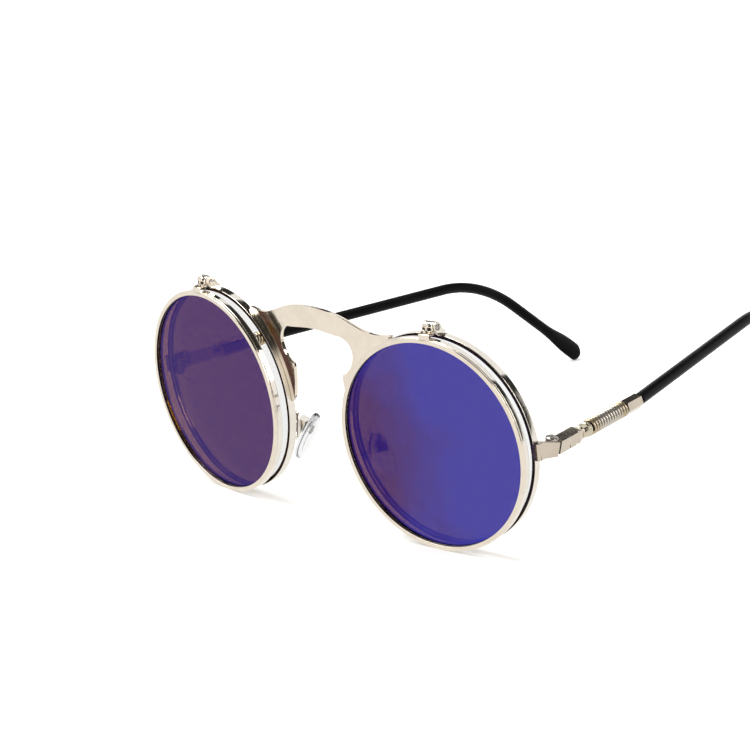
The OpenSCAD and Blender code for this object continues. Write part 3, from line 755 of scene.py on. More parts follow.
def finished(bm: BMesh, name: str, place: Matrix, body: str, slot: Slot, nodes: Sequence[str],
             smooth: float = 40.0, finish: Material | None = None) -> Object:
    """Makes a mesh a piece of the glasses.

    Args:
        bm: the mesh in its own frame, which is freed.
        name: the piece's name.
        place: from its own frame to metres.
        body: the CAD body that it rides on.
        slot: the slot that gives its finish.
        nodes: the CAD nodes that it stands for.
        smooth: the angle in degrees above which an edge stays sharp.
        finish: a finish other than the slot's own.

    Returns:
        The object.
    """
    bmesh.ops.transform(bm, matrix=place, verts=bm.verts[:])
    bmesh.ops.recalc_face_normals(bm, faces=bm.faces[:])
    mesh = bpy.data.meshes.new(name)
    bm.to_mesh(mesh)
    bm.free()
    mesh.shade_smooth()
    mesh.set_sharp_from_angle(angle=math.radians(smooth))
    mesh.materials.append(finish or FINISHES.made[slot])
    piece = bpy.data.objects.new(name, mesh)
    bpy.context.scene.collection.objects.link(piece)
    weighted = piece.modifiers.new("even_shading", "WEIGHTED_NORMAL")
    weighted.keep_sharp = True
    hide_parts(*nodes)
    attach(piece, body)
    log.info("%s: %d faces on %s", name, len(mesh.polygons), body)
    return piece


def machined(node: str, body: str, slot: Slot, width: float, segments: int = 2,
             finish: Material | None = None) -> Object:
    """Makes a metal piece of a CAD node's own form, with its edges broken.

    Args:
        node: the CAD node.
        body: the CAD body that it rides on.
        slot: the slot that gives its finish.
        width: the width of the broken edges in millimetres.
        segments: how many faces a broken edge has.
        finish: a finish other than the slot's own.

    Returns:
        The piece.
    """
    bm = bmesh.new()
    bm.from_mesh(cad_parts[node].data)
    bmesh.ops.scale(bm, vec=(1 / MM, 1 / MM, 1 / MM), verts=bm.verts[:])
    bmesh.ops.remove_doubles(bm, verts=bm.verts[:], dist=0.002)
    bmesh.ops.dissolve_limit(bm, angle_limit=math.radians(1), use_dissolve_boundaries=False,
                             verts=bm.verts[:], edges=bm.edges[:], delimit=set())
    soften(bm, width, segments)
    return finished(bm, f"{node}_piece", Matrix.Scale(MM, 4), body, slot, [node], 50, finish)


# Sub-assemblies


@dataclass
class Rims:
    """Both rims of one side with their lenses, in the lens' own frame."""

    side: Side
    open_r: float = 23.0
    face: float = 1.05
    depth: float = 1.9
    plate_t: float = 0.6
    gap: float = 2.0
    groove: float = 0.45
    lip: float = 0.2
    split: float = 0.5
    seam: float = 0.03
    lens_seat: float = 0.04
    lens_play: float = 0.05
    frame_wider: float = 0.2
    back_groove: tuple[float, float] = (0.35, 1.6)
    flip_lens_t: float = 1.0
    clear_lens_t: float = 1.15
    curve_r: float = 500.0
    curve_steps: int = 24
    turn_steps: int = 160
    coated_to: float = -0.5

    def build(self) -> None:
        """Makes the flip ring, the flip rim, the frame rim and both lenses."""
        place = LAYOUT.lens(self.side)
        out_r = self.open_r + self.face
        groove_r = self.open_r + self.groove
        flip, front = self.side.node("flip"), "front_frame"
        seat = self.plate_t + self.lens_seat
        ring_back = self.plate_t - self.seam
        ring = [(self.open_r, 0, 0.1), (out_r, 0, 0.16), (out_r, ring_back, 0.07),
                (self.open_r, ring_back, 0.03)]
        face_ring = finished(lathe(ring), self.side.node("flip_face_ring"), place, flip,
                             Slot.BRIDGE, [self.side.node("flip_plate")])
        # Painted shade: the ring's faces that line the lens opening take a near-black plating.
        paint_shade(face_ring, FINISHES.painted_shade, place, self.lines_opening)
        outline = self.grooved(self.open_r, out_r, (seat - self.seam, self.depth),
                               (seat, self.depth - self.lip), groove_r)
        wall = finished(lathe(outline), self.side.node("flip_wall"), place, flip, Slot.RIM,
                        [self.side.node("flip_rim")])
        # Painted shade: the flip rim's back faces take a dark brown plating, for the gap between
        # the rims.
        paint_shade(wall, FINISHES.gap, place, lambda _, way: way.y > SQUARE_TO)
        back_y = self.depth + self.gap
        groove = (back_y + self.back_groove[0], back_y + self.back_groove[1])
        outline = self.grooved(self.open_r + self.frame_wider, out_r,
                               (back_y, back_y + self.depth), groove,
                               groove_r + self.frame_wider)
        wall = finished(lathe(outline, 191, self.split), self.side.node("frame_wall"), place,
                        front, Slot.RIM, [self.side.node("frame_rim")])
        # Painted shade: the frame rim's front faces take the same dark brown, for the same gap.
        paint_shade(wall, FINISHES.gap, place, lambda _, way: way.y < -SQUARE_TO)
        mirror = self.lens(groove_r - self.lens_play, self.flip_lens_t, seat)
        bmesh.ops.recalc_face_normals(mirror, faces=mirror.faces[:])
        for face in mirror.faces:
            face.material_index = 0 if face.normal.y < self.coated_to else 1
        coated = finished(mirror, self.side.node("mirror_lens"), place, flip, Slot.MIRROR,
                          [self.side.node("flip_lens")])
        coated.data.materials.append(FINISHES.lens_back)
        finished(self.lens(groove_r + self.frame_wider - self.lens_play, self.clear_lens_t,
                           groove[0] + self.lens_play),
                 self.side.node("back_lens"), place, front, Slot.CLEAR,
                 [self.side.node("clear_lens")])

    def lines_opening(self, spot: Vector, way: Vector) -> bool:
        """Returns whether a face lines the lens opening and looks at its axis."""
        inwards = Vector((-spot.x, 0, -spot.z)).normalized()
        return math.hypot(spot.x, spot.z) < self.open_r + 0.06 and way.dot(inwards) > SQUARE_TO

    @staticmethod
    def grooved(in_r: float, out_r: float, wall: tuple[float, float],
                groove: tuple[float, float], groove_r: float) -> list[tuple[float, float, float]]:
        """Lays out a rim's section with the groove for its lens.

        Args:
            in_r: the opening.
            out_r: the rim's outer radius.
            wall: the depths of its front and back.
            groove: the depths of the groove's front and back.
            groove_r: the groove's radius.

        Returns:
            The section's corners, for a lathe.
        """
        (front, back), (groove_front, groove_back) = wall, groove
        return [(in_r, front, 0.06), (out_r, front, 0.14), (out_r, back, 0.18), (in_r, back, 0.06),
                (in_r, groove_back, 0.0), (groove_r, groove_back, 0.0),
                (groove_r, groove_front, 0.0), (in_r, groove_front, 0.0)]

    def lens(self, radius: float, thickness: float, edge_y: float) -> BMesh:
        """Makes a gently curved lens.

        Args:
            radius: the lens' radius.
            thickness: how thick it is.
            edge_y: the depth of its front edge.

        Returns:
            The closed solid.
        """
        bm = bmesh.new()
        sag = radius ** 2 / (2 * self.curve_r)
        across = [radius * k / self.curve_steps for k in range(self.curve_steps + 1)]
        front = [(x, edge_y - sag + x ** 2 / (2 * self.curve_r)) for x in across]
        back = [(x, y + thickness) for x, y in reversed(front)]
        verts = [bm.verts.new((x, y, 0)) for x, y in front + back]
        for a, b in zip(verts, verts[1:]):
            bm.edges.new((a, b))
        bmesh.ops.spin(bm, geom=bm.verts[:] + bm.edges[:], cent=(0, 0, 0), axis=(0, 1, 0),
                       dvec=(0, 0, 0), angle=math.tau, steps=self.turn_steps, use_merge=True,
                       use_duplicate=False)
        bmesh.ops.remove_doubles(bm, verts=bm.verts[:], dist=1e-4)
        return bm


@dataclass(frozen=True)
class Mark:
    """A mark that the press leaves in the skull's face, by place, size and depth."""

    x: float
    z: float
    wide: float
    high: float
    depth: float
    paired: bool = False
    teeth: float = 0.0
    tooth_waves: float = 16.0
    edge: float = 1.6

    def push(self, x: float, z: float) -> float:
        """Works out how far the mark moves the face.

        Args:
            x: the place across the face.
            z: the place up the face.

        Returns:
            The way back, or forwards where it is below 0.
        """
        middles = (self.x, -self.x) if self.paired else (self.x,)
        shares = [math.exp(-(((x - middle) / self.wide) ** 2
                             + ((z - self.z) / self.high) ** 2) ** self.edge)
                  for middle in middles]
        gaps = 1 - self.teeth * (1 - math.cos(x * self.tooth_waves))
        return self.depth * gaps * sum(shares)


EYES = Mark(0.70, 0.02, 0.44, 0.38, 0.40, paired=True)
NOSE = Mark(0.0, -0.52, 0.2, 0.26, 0.34)
MOUTH = Mark(0.0, -0.98, 0.62, 0.10, 0.20, teeth=0.4)
BROWS = Mark(0.62, 0.56, 0.62, 0.16, -0.10, paired=True)
RIDGE = Mark(0.0, -0.02, 0.16, 0.42, -0.08)
CHEEKS = Mark(0.86, -0.62, 0.3, 0.24, -0.10, paired=True)
SKULL_MARKS = (EYES, NOSE, MOUTH, BROWS, RIDGE, CHEEKS)


@dataclass
class FlipHinge:
    """The tab, the small skull, the knuckle and the fork of one side's flip hinge."""

    side: Side
    x: float = 1.2
    y: float = 3.1
    z: float = 26.0
    tab_half: float = 1.4
    barrel_r: float = 1.15
    knuckle_half: float = 0.95
    rim_r: float = 24.05
    skull_back: float = 1.87
    skull_size: Vector = field(default_factory=lambda: Vector((1.42, 0.62, 1.36)))
    skull_middle: Vector = field(default_factory=lambda: Vector((1.2, 1.62, 25.92)))
    skull_flat: float = 0.25
    face_front: float = -0.68
    jaw_from: float = 0.25
    jaw_height: float = 0.8
    jaw_taper: float = 0.30
    bore_r: float = 0.49
    strip_t: float = 0.55
    strip_foot: float = 0.35
    strip_over: float = 0.57

    def build(self) -> None:
        """Makes the moving pieces, and breaks the edges of the fixed ones."""
        place = LAYOUT.lens(self.side)
        flip = self.side.node("flip")
        plate = [self.side.node("flip_plate")]
        finished(self.tab(), self.side.node("flip_tab"), place, flip, Slot.BRIDGE, plate, 50)
        finished(self.knuckle(), self.side.node("flip_knuckle"), place, flip, Slot.RIM, plate, 50)
        finished(self.skull(), self.side.node("skull"), place, flip, Slot.BRIDGE, plate, 70,
                 FINISHES.skull)
        machined(self.side.node("flip_bracket"), "front_frame", Slot.RIM, 0.1)
        machined(self.side.node("flip_hinge_screw"), "front_frame", Slot.DARK, 0.06)

    def tab(self) -> BMesh:
        """Makes the strip that rises from the ring and bends back over the rim.

        Returns:
            The closed solid.
        """
        foot, top = self.rim_r - self.strip_foot, self.rim_r + self.strip_over
        outline = [(0.0, foot), (0.0, top + 0.5), (self.skull_back, top + 0.7),
                   (self.skull_back, top), (0.8, top), (self.strip_t, top - 0.2),
                   (self.strip_t, foot)]
        roundings = [0.0, 0.34, 0.08, 0.05, 0.2, 0.0, 0.0]
        strip = slab(outline, -self.tab_half, self.tab_half, roundings, self.sideways())
        return soften(strip, 0.1, 2, 60)

    def sideways(self) -> Matrix:
        """Returns the matrix that takes a slab's X to depth and its Y across the tab."""
        return Matrix(((0, 1, 0, self.x), (1, 0, 0, 0), (0, 0, 1, 0), (0, 0, 0, 1)))

    def knuckle(self) -> BMesh:
        """Makes the moving knuckle with the web that joins it to the tab.

        Returns:
            Both solids.
        """
        half = self.knuckle_half
        barrel = lathe([(self.bore_r, -half, 0.0), (self.barrel_r, -half, 0.1),
                        (self.barrel_r, half, 0.1), (self.bore_r, half, 0.0)], 64)
        turn = Matrix.Translation((self.x, self.y, self.z)) @ turned(90, "Z")
        bmesh.ops.transform(barrel, matrix=turn, verts=barrel.verts[:])
        low = self.rim_r + 0.62
        web = [(1.5, low), (self.skull_back + 0.1, low), (self.y - 0.62, self.z - 0.98),
               (self.y - 0.6, self.z + 0.9), (1.6, self.z + 0.5)]
        block = soften(slab(web, -half, half, None, self.sideways()), 0.06, 2)
        return joined([barrel, block])

    def skull(self) -> BMesh:
        """Presses the small skull out of a ball, and writes how deep the press went.

        Returns:
            The closed solid, with the attribute along.
        """
        bm = bmesh.new()
        bmesh.ops.create_uvsphere(bm, u_segments=72, v_segments=56, radius=1.0)
        bmesh.ops.scale(bm, vec=self.skull_size, verts=bm.verts[:])
        depth = bm.verts.layers.float.new("along")
        for vert in bm.verts:
            ball = vert.co.copy()
            vert.co = self.pressed(ball)
            # How deep the press went sets the skull's painted shade.
            vert[depth] = max(vert.co.y - ball.y, 0.0) / EYES.depth if ball.y < 0 else 0.0
        bmesh.ops.translate(bm, vec=self.skull_middle, verts=bm.verts[:])
        return bm

    def pressed(self, point: Vector) -> Vector:
        """Works out where the press leaves a point of the ball.

        Args:
            point: the point, from the middle of the ball.

        Returns:
            The point after the press.
        """
        x, y, z = point
        x *= 1 - self.jaw_taper * smooth_step((-z - self.jaw_from) / self.jaw_height)
        y = min(y, self.skull_flat)
        if y < 0:
            pushed = y + sum(mark.push(x, z) for mark in SKULL_MARKS)
            y = min(max(pushed, self.face_front), self.skull_flat)
        return Vector((x, y, z))


@dataclass
class Bridge:
    """The plate between the rims, bent to a gentle curve."""

    bend_r: float = 112.0
    thickness: float = 0.9
    front_y: float = 1.5
    top_z: float = 25.4
    dip_z: float = 21.3
    dip_x: float = 19.0
    tail_x: float = 22.3
    leg_z: float = 1.4
    arch_top_z: float = 20.4
    lobe_r: float = 3.7
    lobe_edge_x: float = 11.3
    lobe_z: float = 16.0
    low_r: float = 5.6
    leg_half_gap: float = 7.9
    cusp_z: float = 10.6
    rim_r: float = 24.08
    rim_middle_x: float = 34.14
    rim_squash: float = 0.9923
    play: float = 0.02
    slices: int = 46

    def build(self) -> None:
        """Makes the plate."""
        bm = slab(self.outline(), 0.0, 1.0)
        for k in range(1, self.slices):
            x = self.tail_x * (2 * k / self.slices - 1)
            bmesh.ops.bisect_plane(bm, geom=bm.verts[:] + bm.edges[:] + bm.faces[:],
                                   plane_co=(x, 0, 0), plane_no=(1, 0, 0), dist=0.01)
        for vert in bm.verts:
            radius = self.bend_r - self.thickness * vert.co.y
            centre = self.front_y + self.bend_r
            vert.co.y = centre - math.sqrt(radius ** 2 - vert.co.x ** 2)
        soften(bm, 0.14, 3, 50)
        finished(bm, "bridge", LAYOUT.face(Side.LEFT), "front_frame", Slot.BRIDGE,
                 ["bridge_plate"], 55)

    def outline(self) -> list[tuple[float, float]]:
        """Lays out the plate, both halves.

        Returns:
            Its corners, X and Z.
        """
        crown = bezier((0, self.top_z), (11, self.top_z), (12.8, self.dip_z - 0.2),
                       (self.dip_x, self.dip_z), 20)
        tail = [(self.tail_x, self.dip_z + 0.25)]
        reach = (self.rim_middle_x - self.tail_x) * self.rim_squash
        side_high = math.sqrt(self.rim_r ** 2 - reach ** 2)
        heights = [side_high + (self.leg_z - side_high) * k / 26 for k in range(27)]
        wall = [(self.wall_x(z), z) for z in heights]
        leg = [(self.leg_half_gap + 1.9, self.leg_z), (self.leg_half_gap + 0.8, self.leg_z + 1.6),
               (self.leg_half_gap + 0.1, self.leg_z + 5),
               (self.leg_half_gap - 0.2, self.cusp_z - 0.6)]
        half = crown + tail + wall + leg + self.arch()
        return half + [(-x, z) for x, z in reversed(half[1:-1])]

    def wall_x(self, z: float) -> float:
        """Works out where the rim's wall cuts the plate.

        Args:
            z: the height.

        Returns:
            The place across the plate.
        """
        reach = math.sqrt(self.rim_r ** 2 - z ** 2)
        x = 12.0
        for _ in range(4):
            depth = self.front_y + x ** 2 / (2 * self.bend_r) + self.thickness / 2
            wrap = math.radians(LAYOUT.wrap_angle)
            x = LAYOUT.lens_half_distance - depth * math.tan(wrap) - reach / math.cos(wrap)
        return x - self.play

    def arch(self) -> list[tuple[float, float]]:
        """Lays out the arch from the cusp up to its middle.

        Returns:
            Its points, X and Z.
        """
        shoulder = self.lobe_edge_x - self.lobe_r
        low_x = self.lobe_edge_x - self.low_r
        turn = math.acos((self.leg_half_gap - low_x) / self.low_r)
        low = [(low_x + self.low_r * math.cos(turn * k / 10),
                self.lobe_z - self.low_r * math.sin(turn * k / 10)) for k in range(10, 0, -1)]
        high = [(shoulder + self.lobe_r * math.cos(math.radians(a)),
                 self.lobe_z + self.lobe_r * math.sin(math.radians(a))) for a in range(0, 91, 6)]
        crown = bezier(high[-1], (shoulder - 2, self.lobe_z + self.lobe_r + 0.1),
                       (3, self.arch_top_z), (0, self.arch_top_z), 8)
        return low + high + crown[1:]


def bezier(a: Sequence[float], b: Sequence[float], c: Sequence[float], d: Sequence[float],
           steps: int) -> list[tuple[float, float]]:
    """Lays a curve from a to d that b and c steer.

    Args:
        a: the curve's start.
        b: what steers its start.
        c: what steers its end.
        d: the curve's end.
        steps: how many steps it has.

    Returns:
        Points on the curve, both ends too.
    """
    points = []
    for k in range(steps + 1):
        t = k / steps
        s = 1 - t
        weights = (s ** 3, 3 * s * s * t, 3 * s * t * t, t ** 3)
        points.append(tuple(sum(w * p[i] for w, p in zip(weights, (a, b, c, d)))
                            for i in range(2)))
    return points


@dataclass
class NosePad:
    """A clear pad with its box, its screw and its bent wire arm."""

    side: Side
    height: float = 12.4
    width: float = 6.6
    thickness: float = 1.66
    box_z: float = 1.8
    box_x: float = 1.4
    box_t: float = 1.85
    pin_x: float = 2.3
    arm_wire: float = 0.84
    foot_r: float = 23.625
    foot_angle: float = 200.0
    foot_y: float = 5.82
    arm_rise: float = 0.6
    taper: float = 0.16
    rings: int = 12

    def build(self) -> None:
        """Makes the pad and its arm, and breaks the edges of the box and screw."""
        pad = self.side.node("nose_pad")
        finished(joined([self.pad(), self.post()]), self.side.node("clear_pad"),
                 LAYOUT.pad(self.side), self.side.node("pad"), Slot.PAD, [pad], 60)
        finished(sweep(stations_on(self.route(), self.arm_wire / 2), 20),
                 self.side.node("pad_wire"), LAYOUT.face(self.side), "front_frame", Slot.RIM,
                 [self.side.node("pad_arm")])
        machined(self.side.node("pad_box"), "front_frame", Slot.RIM, 0.12)
        machined(self.side.node("pad_screw"), "front_frame", Slot.DARK, 0.06)

    def pad(self) -> BMesh:
        """Makes the pad: rounder below, narrower at its top, with full edges.

        Returns:
            The closed solid.
        """
        half = self.thickness / 2
        stations = []
        for k in range(-self.rings, self.rings + 1):
            angle = math.radians(88 * k / self.rings)
            inset = half * (1 - math.cos(angle))
            stations.append(self.section(half * math.sin(angle), inset))
        for extra in (1.6, 2.4, 3.0):
            stations.insert(0, self.section(-half - 0.02 * extra, extra))
            stations.append(self.section(half + 0.02 * extra, extra))
        bm = sweep(stations, 48)
        for vert in bm.verts:
            vert.co.y *= 1 - self.taper * vert.co.z / (self.height / 2)
        return bm

    def section(self, x: float, inset: float) -> Matrix:
        """Returns the station of a section of the pad."""
        wide, high = self.width / 2 - inset, self.height / 2 - inset
        return Matrix(((0, 0, 1, x), (wide, 0, 0, 0), (0, high, 0, 0), (0, 0, 0, 1)))

    def post(self) -> BMesh:
        """Makes the post that the box holds.

        Returns:
            The closed solid.
        """
        post = slab([(0.6, 0.95), (self.pin_x + 0.3, 0.95), (self.pin_x + 0.3, 2.65), (0.6, 2.65)],
                    -0.8, 0.8)
        return soften(post, 0.12, 2)

    def route(self) -> list[Vector]:
        """Lays out the wire's middle line, from the rim to the box.

        Returns:
            Points on the line.
        """
        wrap = Matrix.Rotation(math.radians(LAYOUT.wrap_angle), 3, "Z")
        angle = math.radians(self.foot_angle)
        foot = wrap @ Vector((self.foot_r * math.cos(angle), self.foot_y,
                              self.foot_r * math.sin(angle)))
        foot += Vector((LAYOUT.lens_half_distance, 0, 0))
        to_pad = (turned(-LAYOUT.pad_splay, "Z") @ turned(-LAYOUT.pad_frontal, "Y")).to_3x3()
        back = self.box_x + self.box_t
        high = self.box_z + self.arm_rise
        head = to_pad @ Vector((back + 0.02, 0, high)) + LAYOUT.pad_middle
        near = to_pad @ Vector((back + 1.2, 0, high)) + LAYOUT.pad_middle
        knots = [foot - Vector((0, 1.2, 0)), foot, foot + Vector((-0.25, 0.9, 0.5)),
                 foot + Vector((-0.3, 1.3, 2.6)), foot + Vector((0.45, 2.1, 5.0)),
                 near + Vector((0.2, -0.3, 0.9)), near, head, 2 * head - near]
        return curve_through(knots, 9)


@dataclass
class EndPiece:
    """The claw, the wall to the temple hinge, the split rim's lock and their screws."""

    side: Side
    seam_from: float = -2.0

    def build(self) -> None:
        """Breaks the edges of each piece."""
        # Painted shade: the claw takes the plating darkened by about a quarter, and its faces that
        # look at the temple block a near-black one.
        claw = machined(self.side.node("endpiece"), "front_frame", Slot.RIM, 0.16, 3,
                        FINISHES.side)
        paint_shade(claw, FINISHES.painted_shade, LAYOUT.hinge(self.side), self.closes_seam)
        for name, width in (("rim_lock", 0.1), ("rim_lock_screw", 0.06),
                            ("temple_hinge_screw", 0.1)):
            machined(self.side.node(name), "front_frame", Slot.DARK, width, 3)

    def closes_seam(self, spot: Vector, way: Vector) -> bool:
        """Returns whether a face of the claw looks at the temple's block."""
        return way.y > SQUARE_TO and spot.y > self.seam_from


@dataclass
class Temple:
    """A temple: front block, core with its collar, spring, ferrule and sleeve."""

    side: Side
    core_x: float = 0.55
    spring_y: float = 14.2
    spring_len: float = 16.2
    spring_r: float = 1.8
    wire_r: float = 0.33
    turns: float = 14.5
    turn_steps: int = 28
    ferrule_len: float = 6.4
    sleeve_bow: float = 5.4
    sleeve_len: float = 64.6
    bend_r: float = 48.5
    bend: float = 36.0
    tip_len: float = 29.0
    half_h: float = 1.375
    half_w: float = 1.45
    tip_r: float = 2.5
    flare_len: float = 15.0
    flare_flat: float = 0.35
    # Least upward cosine of the ferrule's facets that take painted shade.
    painted_shade_top: float = 0.7
    neck_r: float = 1.48
    collar_r: float = 1.68
    rod_r: float = 1.0
    hollow_r: float = 0.1

    def build(self) -> None:
        """Makes the spring and the sleeve, and breaks the edges of the rest."""
        body = self.side.node("temple")
        place = LAYOUT.temple(self.side)

        # Painted shade: the block takes the plating darkened by about a quarter, and its front
        # faces at the seam with the claw a near-black one.
        block = machined(self.side.node("temple_block"), body, Slot.BRIDGE, 0.12, 3, FINISHES.side)
        paint_shade(block, FINISHES.painted_shade, place, lambda _, way: way.y < -SQUARE_TO)
        core = self.core()
        self.write_along(core)
        finished(core, self.side.node("core"), place, body, Slot.GOLD,
                 [self.side.node("temple_core")])
        # Painted shade: the ferrule takes the plating darkened by about a quarter, and its top
        # facets a dark brown one.
        ferrule = machined(self.side.node("temple_ferrule"), body, Slot.RIM, 0.14, 3,
                           FINISHES.side)
        paint_shade(ferrule, FINISHES.gap, place, lambda _, way: way.z > self.painted_shade_top)
        spring = self.spring()
        self.write_along(spring)
        finished(spring, self.side.node("spring"), place, body, Slot.SPRING,
                 [self.side.node("temple_spring")], 80)
        finished(sweep(self.sleeve_stations(), 40), self.side.node("sleeve"), place, body,
                 Slot.SLEEVE, [self.side.node("temple_sleeve")], 80)

    def write_along(self, bm: BMesh) -> None:
        """Writes the share of the spring's length to the attribute along.

        Args:
            bm: the mesh, in the temple's frame.
        """
        layer = bm.verts.layers.float.new("along")
        for vert in bm.verts:
            vert[layer] = min(max((vert.co.y - self.spring_y) / self.spring_len, 0.0), 1.0)

    def core(self) -> BMesh:
        """Makes the neck, the collar that seats the spring, and the rod.

        Returns:
            The closed solid.
        """
        seat = self.spring_y
        front = seat - 3.3
        back = seat + self.spring_len + self.ferrule_len - 0.2
        bm = lathe([(self.hollow_r, front, 0.0), (self.neck_r, front, 0.3),
                    (self.neck_r, seat - 1.1, 0.08), (self.collar_r, seat - 0.95, 0.1),
                    (self.collar_r, seat, 0.14), (self.rod_r, seat + 0.02, 0.0),
                    (self.rod_r, back, 0.1), (self.hollow_r, back, 0.0)], 64)
        bmesh.ops.translate(bm, vec=(self.core_x, 0, 0), verts=bm.verts[:])
        return bm

    def spring(self) -> BMesh:
        """Spins and shifts the wire about the core.

        Returns:
            The closed solid.
        """
        bm = bmesh.new()
        bmesh.ops.create_circle(bm, cap_ends=False, radius=self.wire_r, segments=12)
        start = Matrix.Translation((self.spring_r - self.wire_r, self.wire_r, 0))
        bmesh.ops.transform(bm, matrix=start, verts=bm.verts[:])
        steps = int(self.turns * self.turn_steps)
        rise = (self.spring_len - 2 * self.wire_r) / steps
        bmesh.ops.spin(bm, geom=bm.verts[:] + bm.edges[:], cent=(0, 0, 0), axis=(0, 1, 0),
                       dvec=(0, rise, 0), angle=math.tau * self.turns, steps=steps,
                       use_merge=False, use_duplicate=False)
        close_ends(bm)
        bmesh.ops.translate(bm, vec=(self.core_x, self.spring_y, 0), verts=bm.verts[:])
        return bm

    def lengths(self) -> tuple[float, float]:
        """Returns the lengths of the sleeve's bend and of the whole sleeve."""
        arc = self.bend_r * math.radians(self.bend)
        return arc, self.sleeve_len + arc + self.tip_len

    def sleeve_stations(self) -> list[Matrix]:
        """Sets up the sleeve, from its rounded start to its flared end.

        Returns:
            Its stations, for a sweep.
        """
        arc, total = self.lengths()
        start = [(0.1 + 0.9 * (1 - math.cos(a)), 0.62 + 0.38 * math.sin(a))
                 for a in (k * math.pi / 16 for k in range(9))]
        body = [(s, 1.0) for s in
                [1.0 + (self.sleeve_len - 1.0) * k / 16 for k in range(1, 17)]
                + [self.sleeve_len + arc * k / 24 for k in range(1, 25)]
                + [self.sleeve_len + arc + self.tip_len * k / 24 for k in range(1, 25)]]
        stations = [self.section(s, scale, 0.0) for s, scale in start + body]
        for k in range(1, 13):
            angle = math.radians(87 * k / 12)
            stations.append(self.section(total, math.cos(angle), self.tip_r * math.sin(angle)))
        return stations

    def section(self, s: float, scale: float, ahead: float) -> Matrix:
        """Works out one station of the sleeve.

        Args:
            s: the length along the middle line.
            scale: the share of the section's full size.
            ahead: how far the section is pushed on.

        Returns:
            The station.
        """
        arc, total = self.lengths()
        angle = min(max((s - self.sleeve_len) / arc, 0), 1) * math.radians(self.bend)
        bow = math.radians(self.sleeve_bow)
        out = Vector((-math.sin(bow), math.cos(bow), 0))
        side = Vector((math.cos(bow), math.sin(bow), 0))
        rest = max(s - self.sleeve_len - arc, 0)
        along = math.cos(angle) * out - Vector((0, 0, math.sin(angle)))
        up = math.sin(angle) * out + Vector((0, 0, math.cos(angle)))
        start = Vector((self.core_x, self.spring_y + self.spring_len + self.ferrule_len, 0))
        point = (start + out * (min(s, self.sleeve_len) + self.bend_r * math.sin(angle))
                 - Vector((0, 0, self.bend_r * (1 - math.cos(angle)))) + along * (rest + ahead))
        grow = smooth_step((s - total + self.flare_len) / (self.flare_len - 3))
        high = self.half_h + (self.tip_r - self.half_h) * grow
        wide = self.half_w - self.flare_flat * grow
        flat = scale if ahead == 0 else math.sqrt(max(scale, 0.0))
        basis = Matrix((side * wide * flat, up * high * scale, along)).transposed().to_4x4()
        return Matrix.Translation(point) @ basis


# Studio


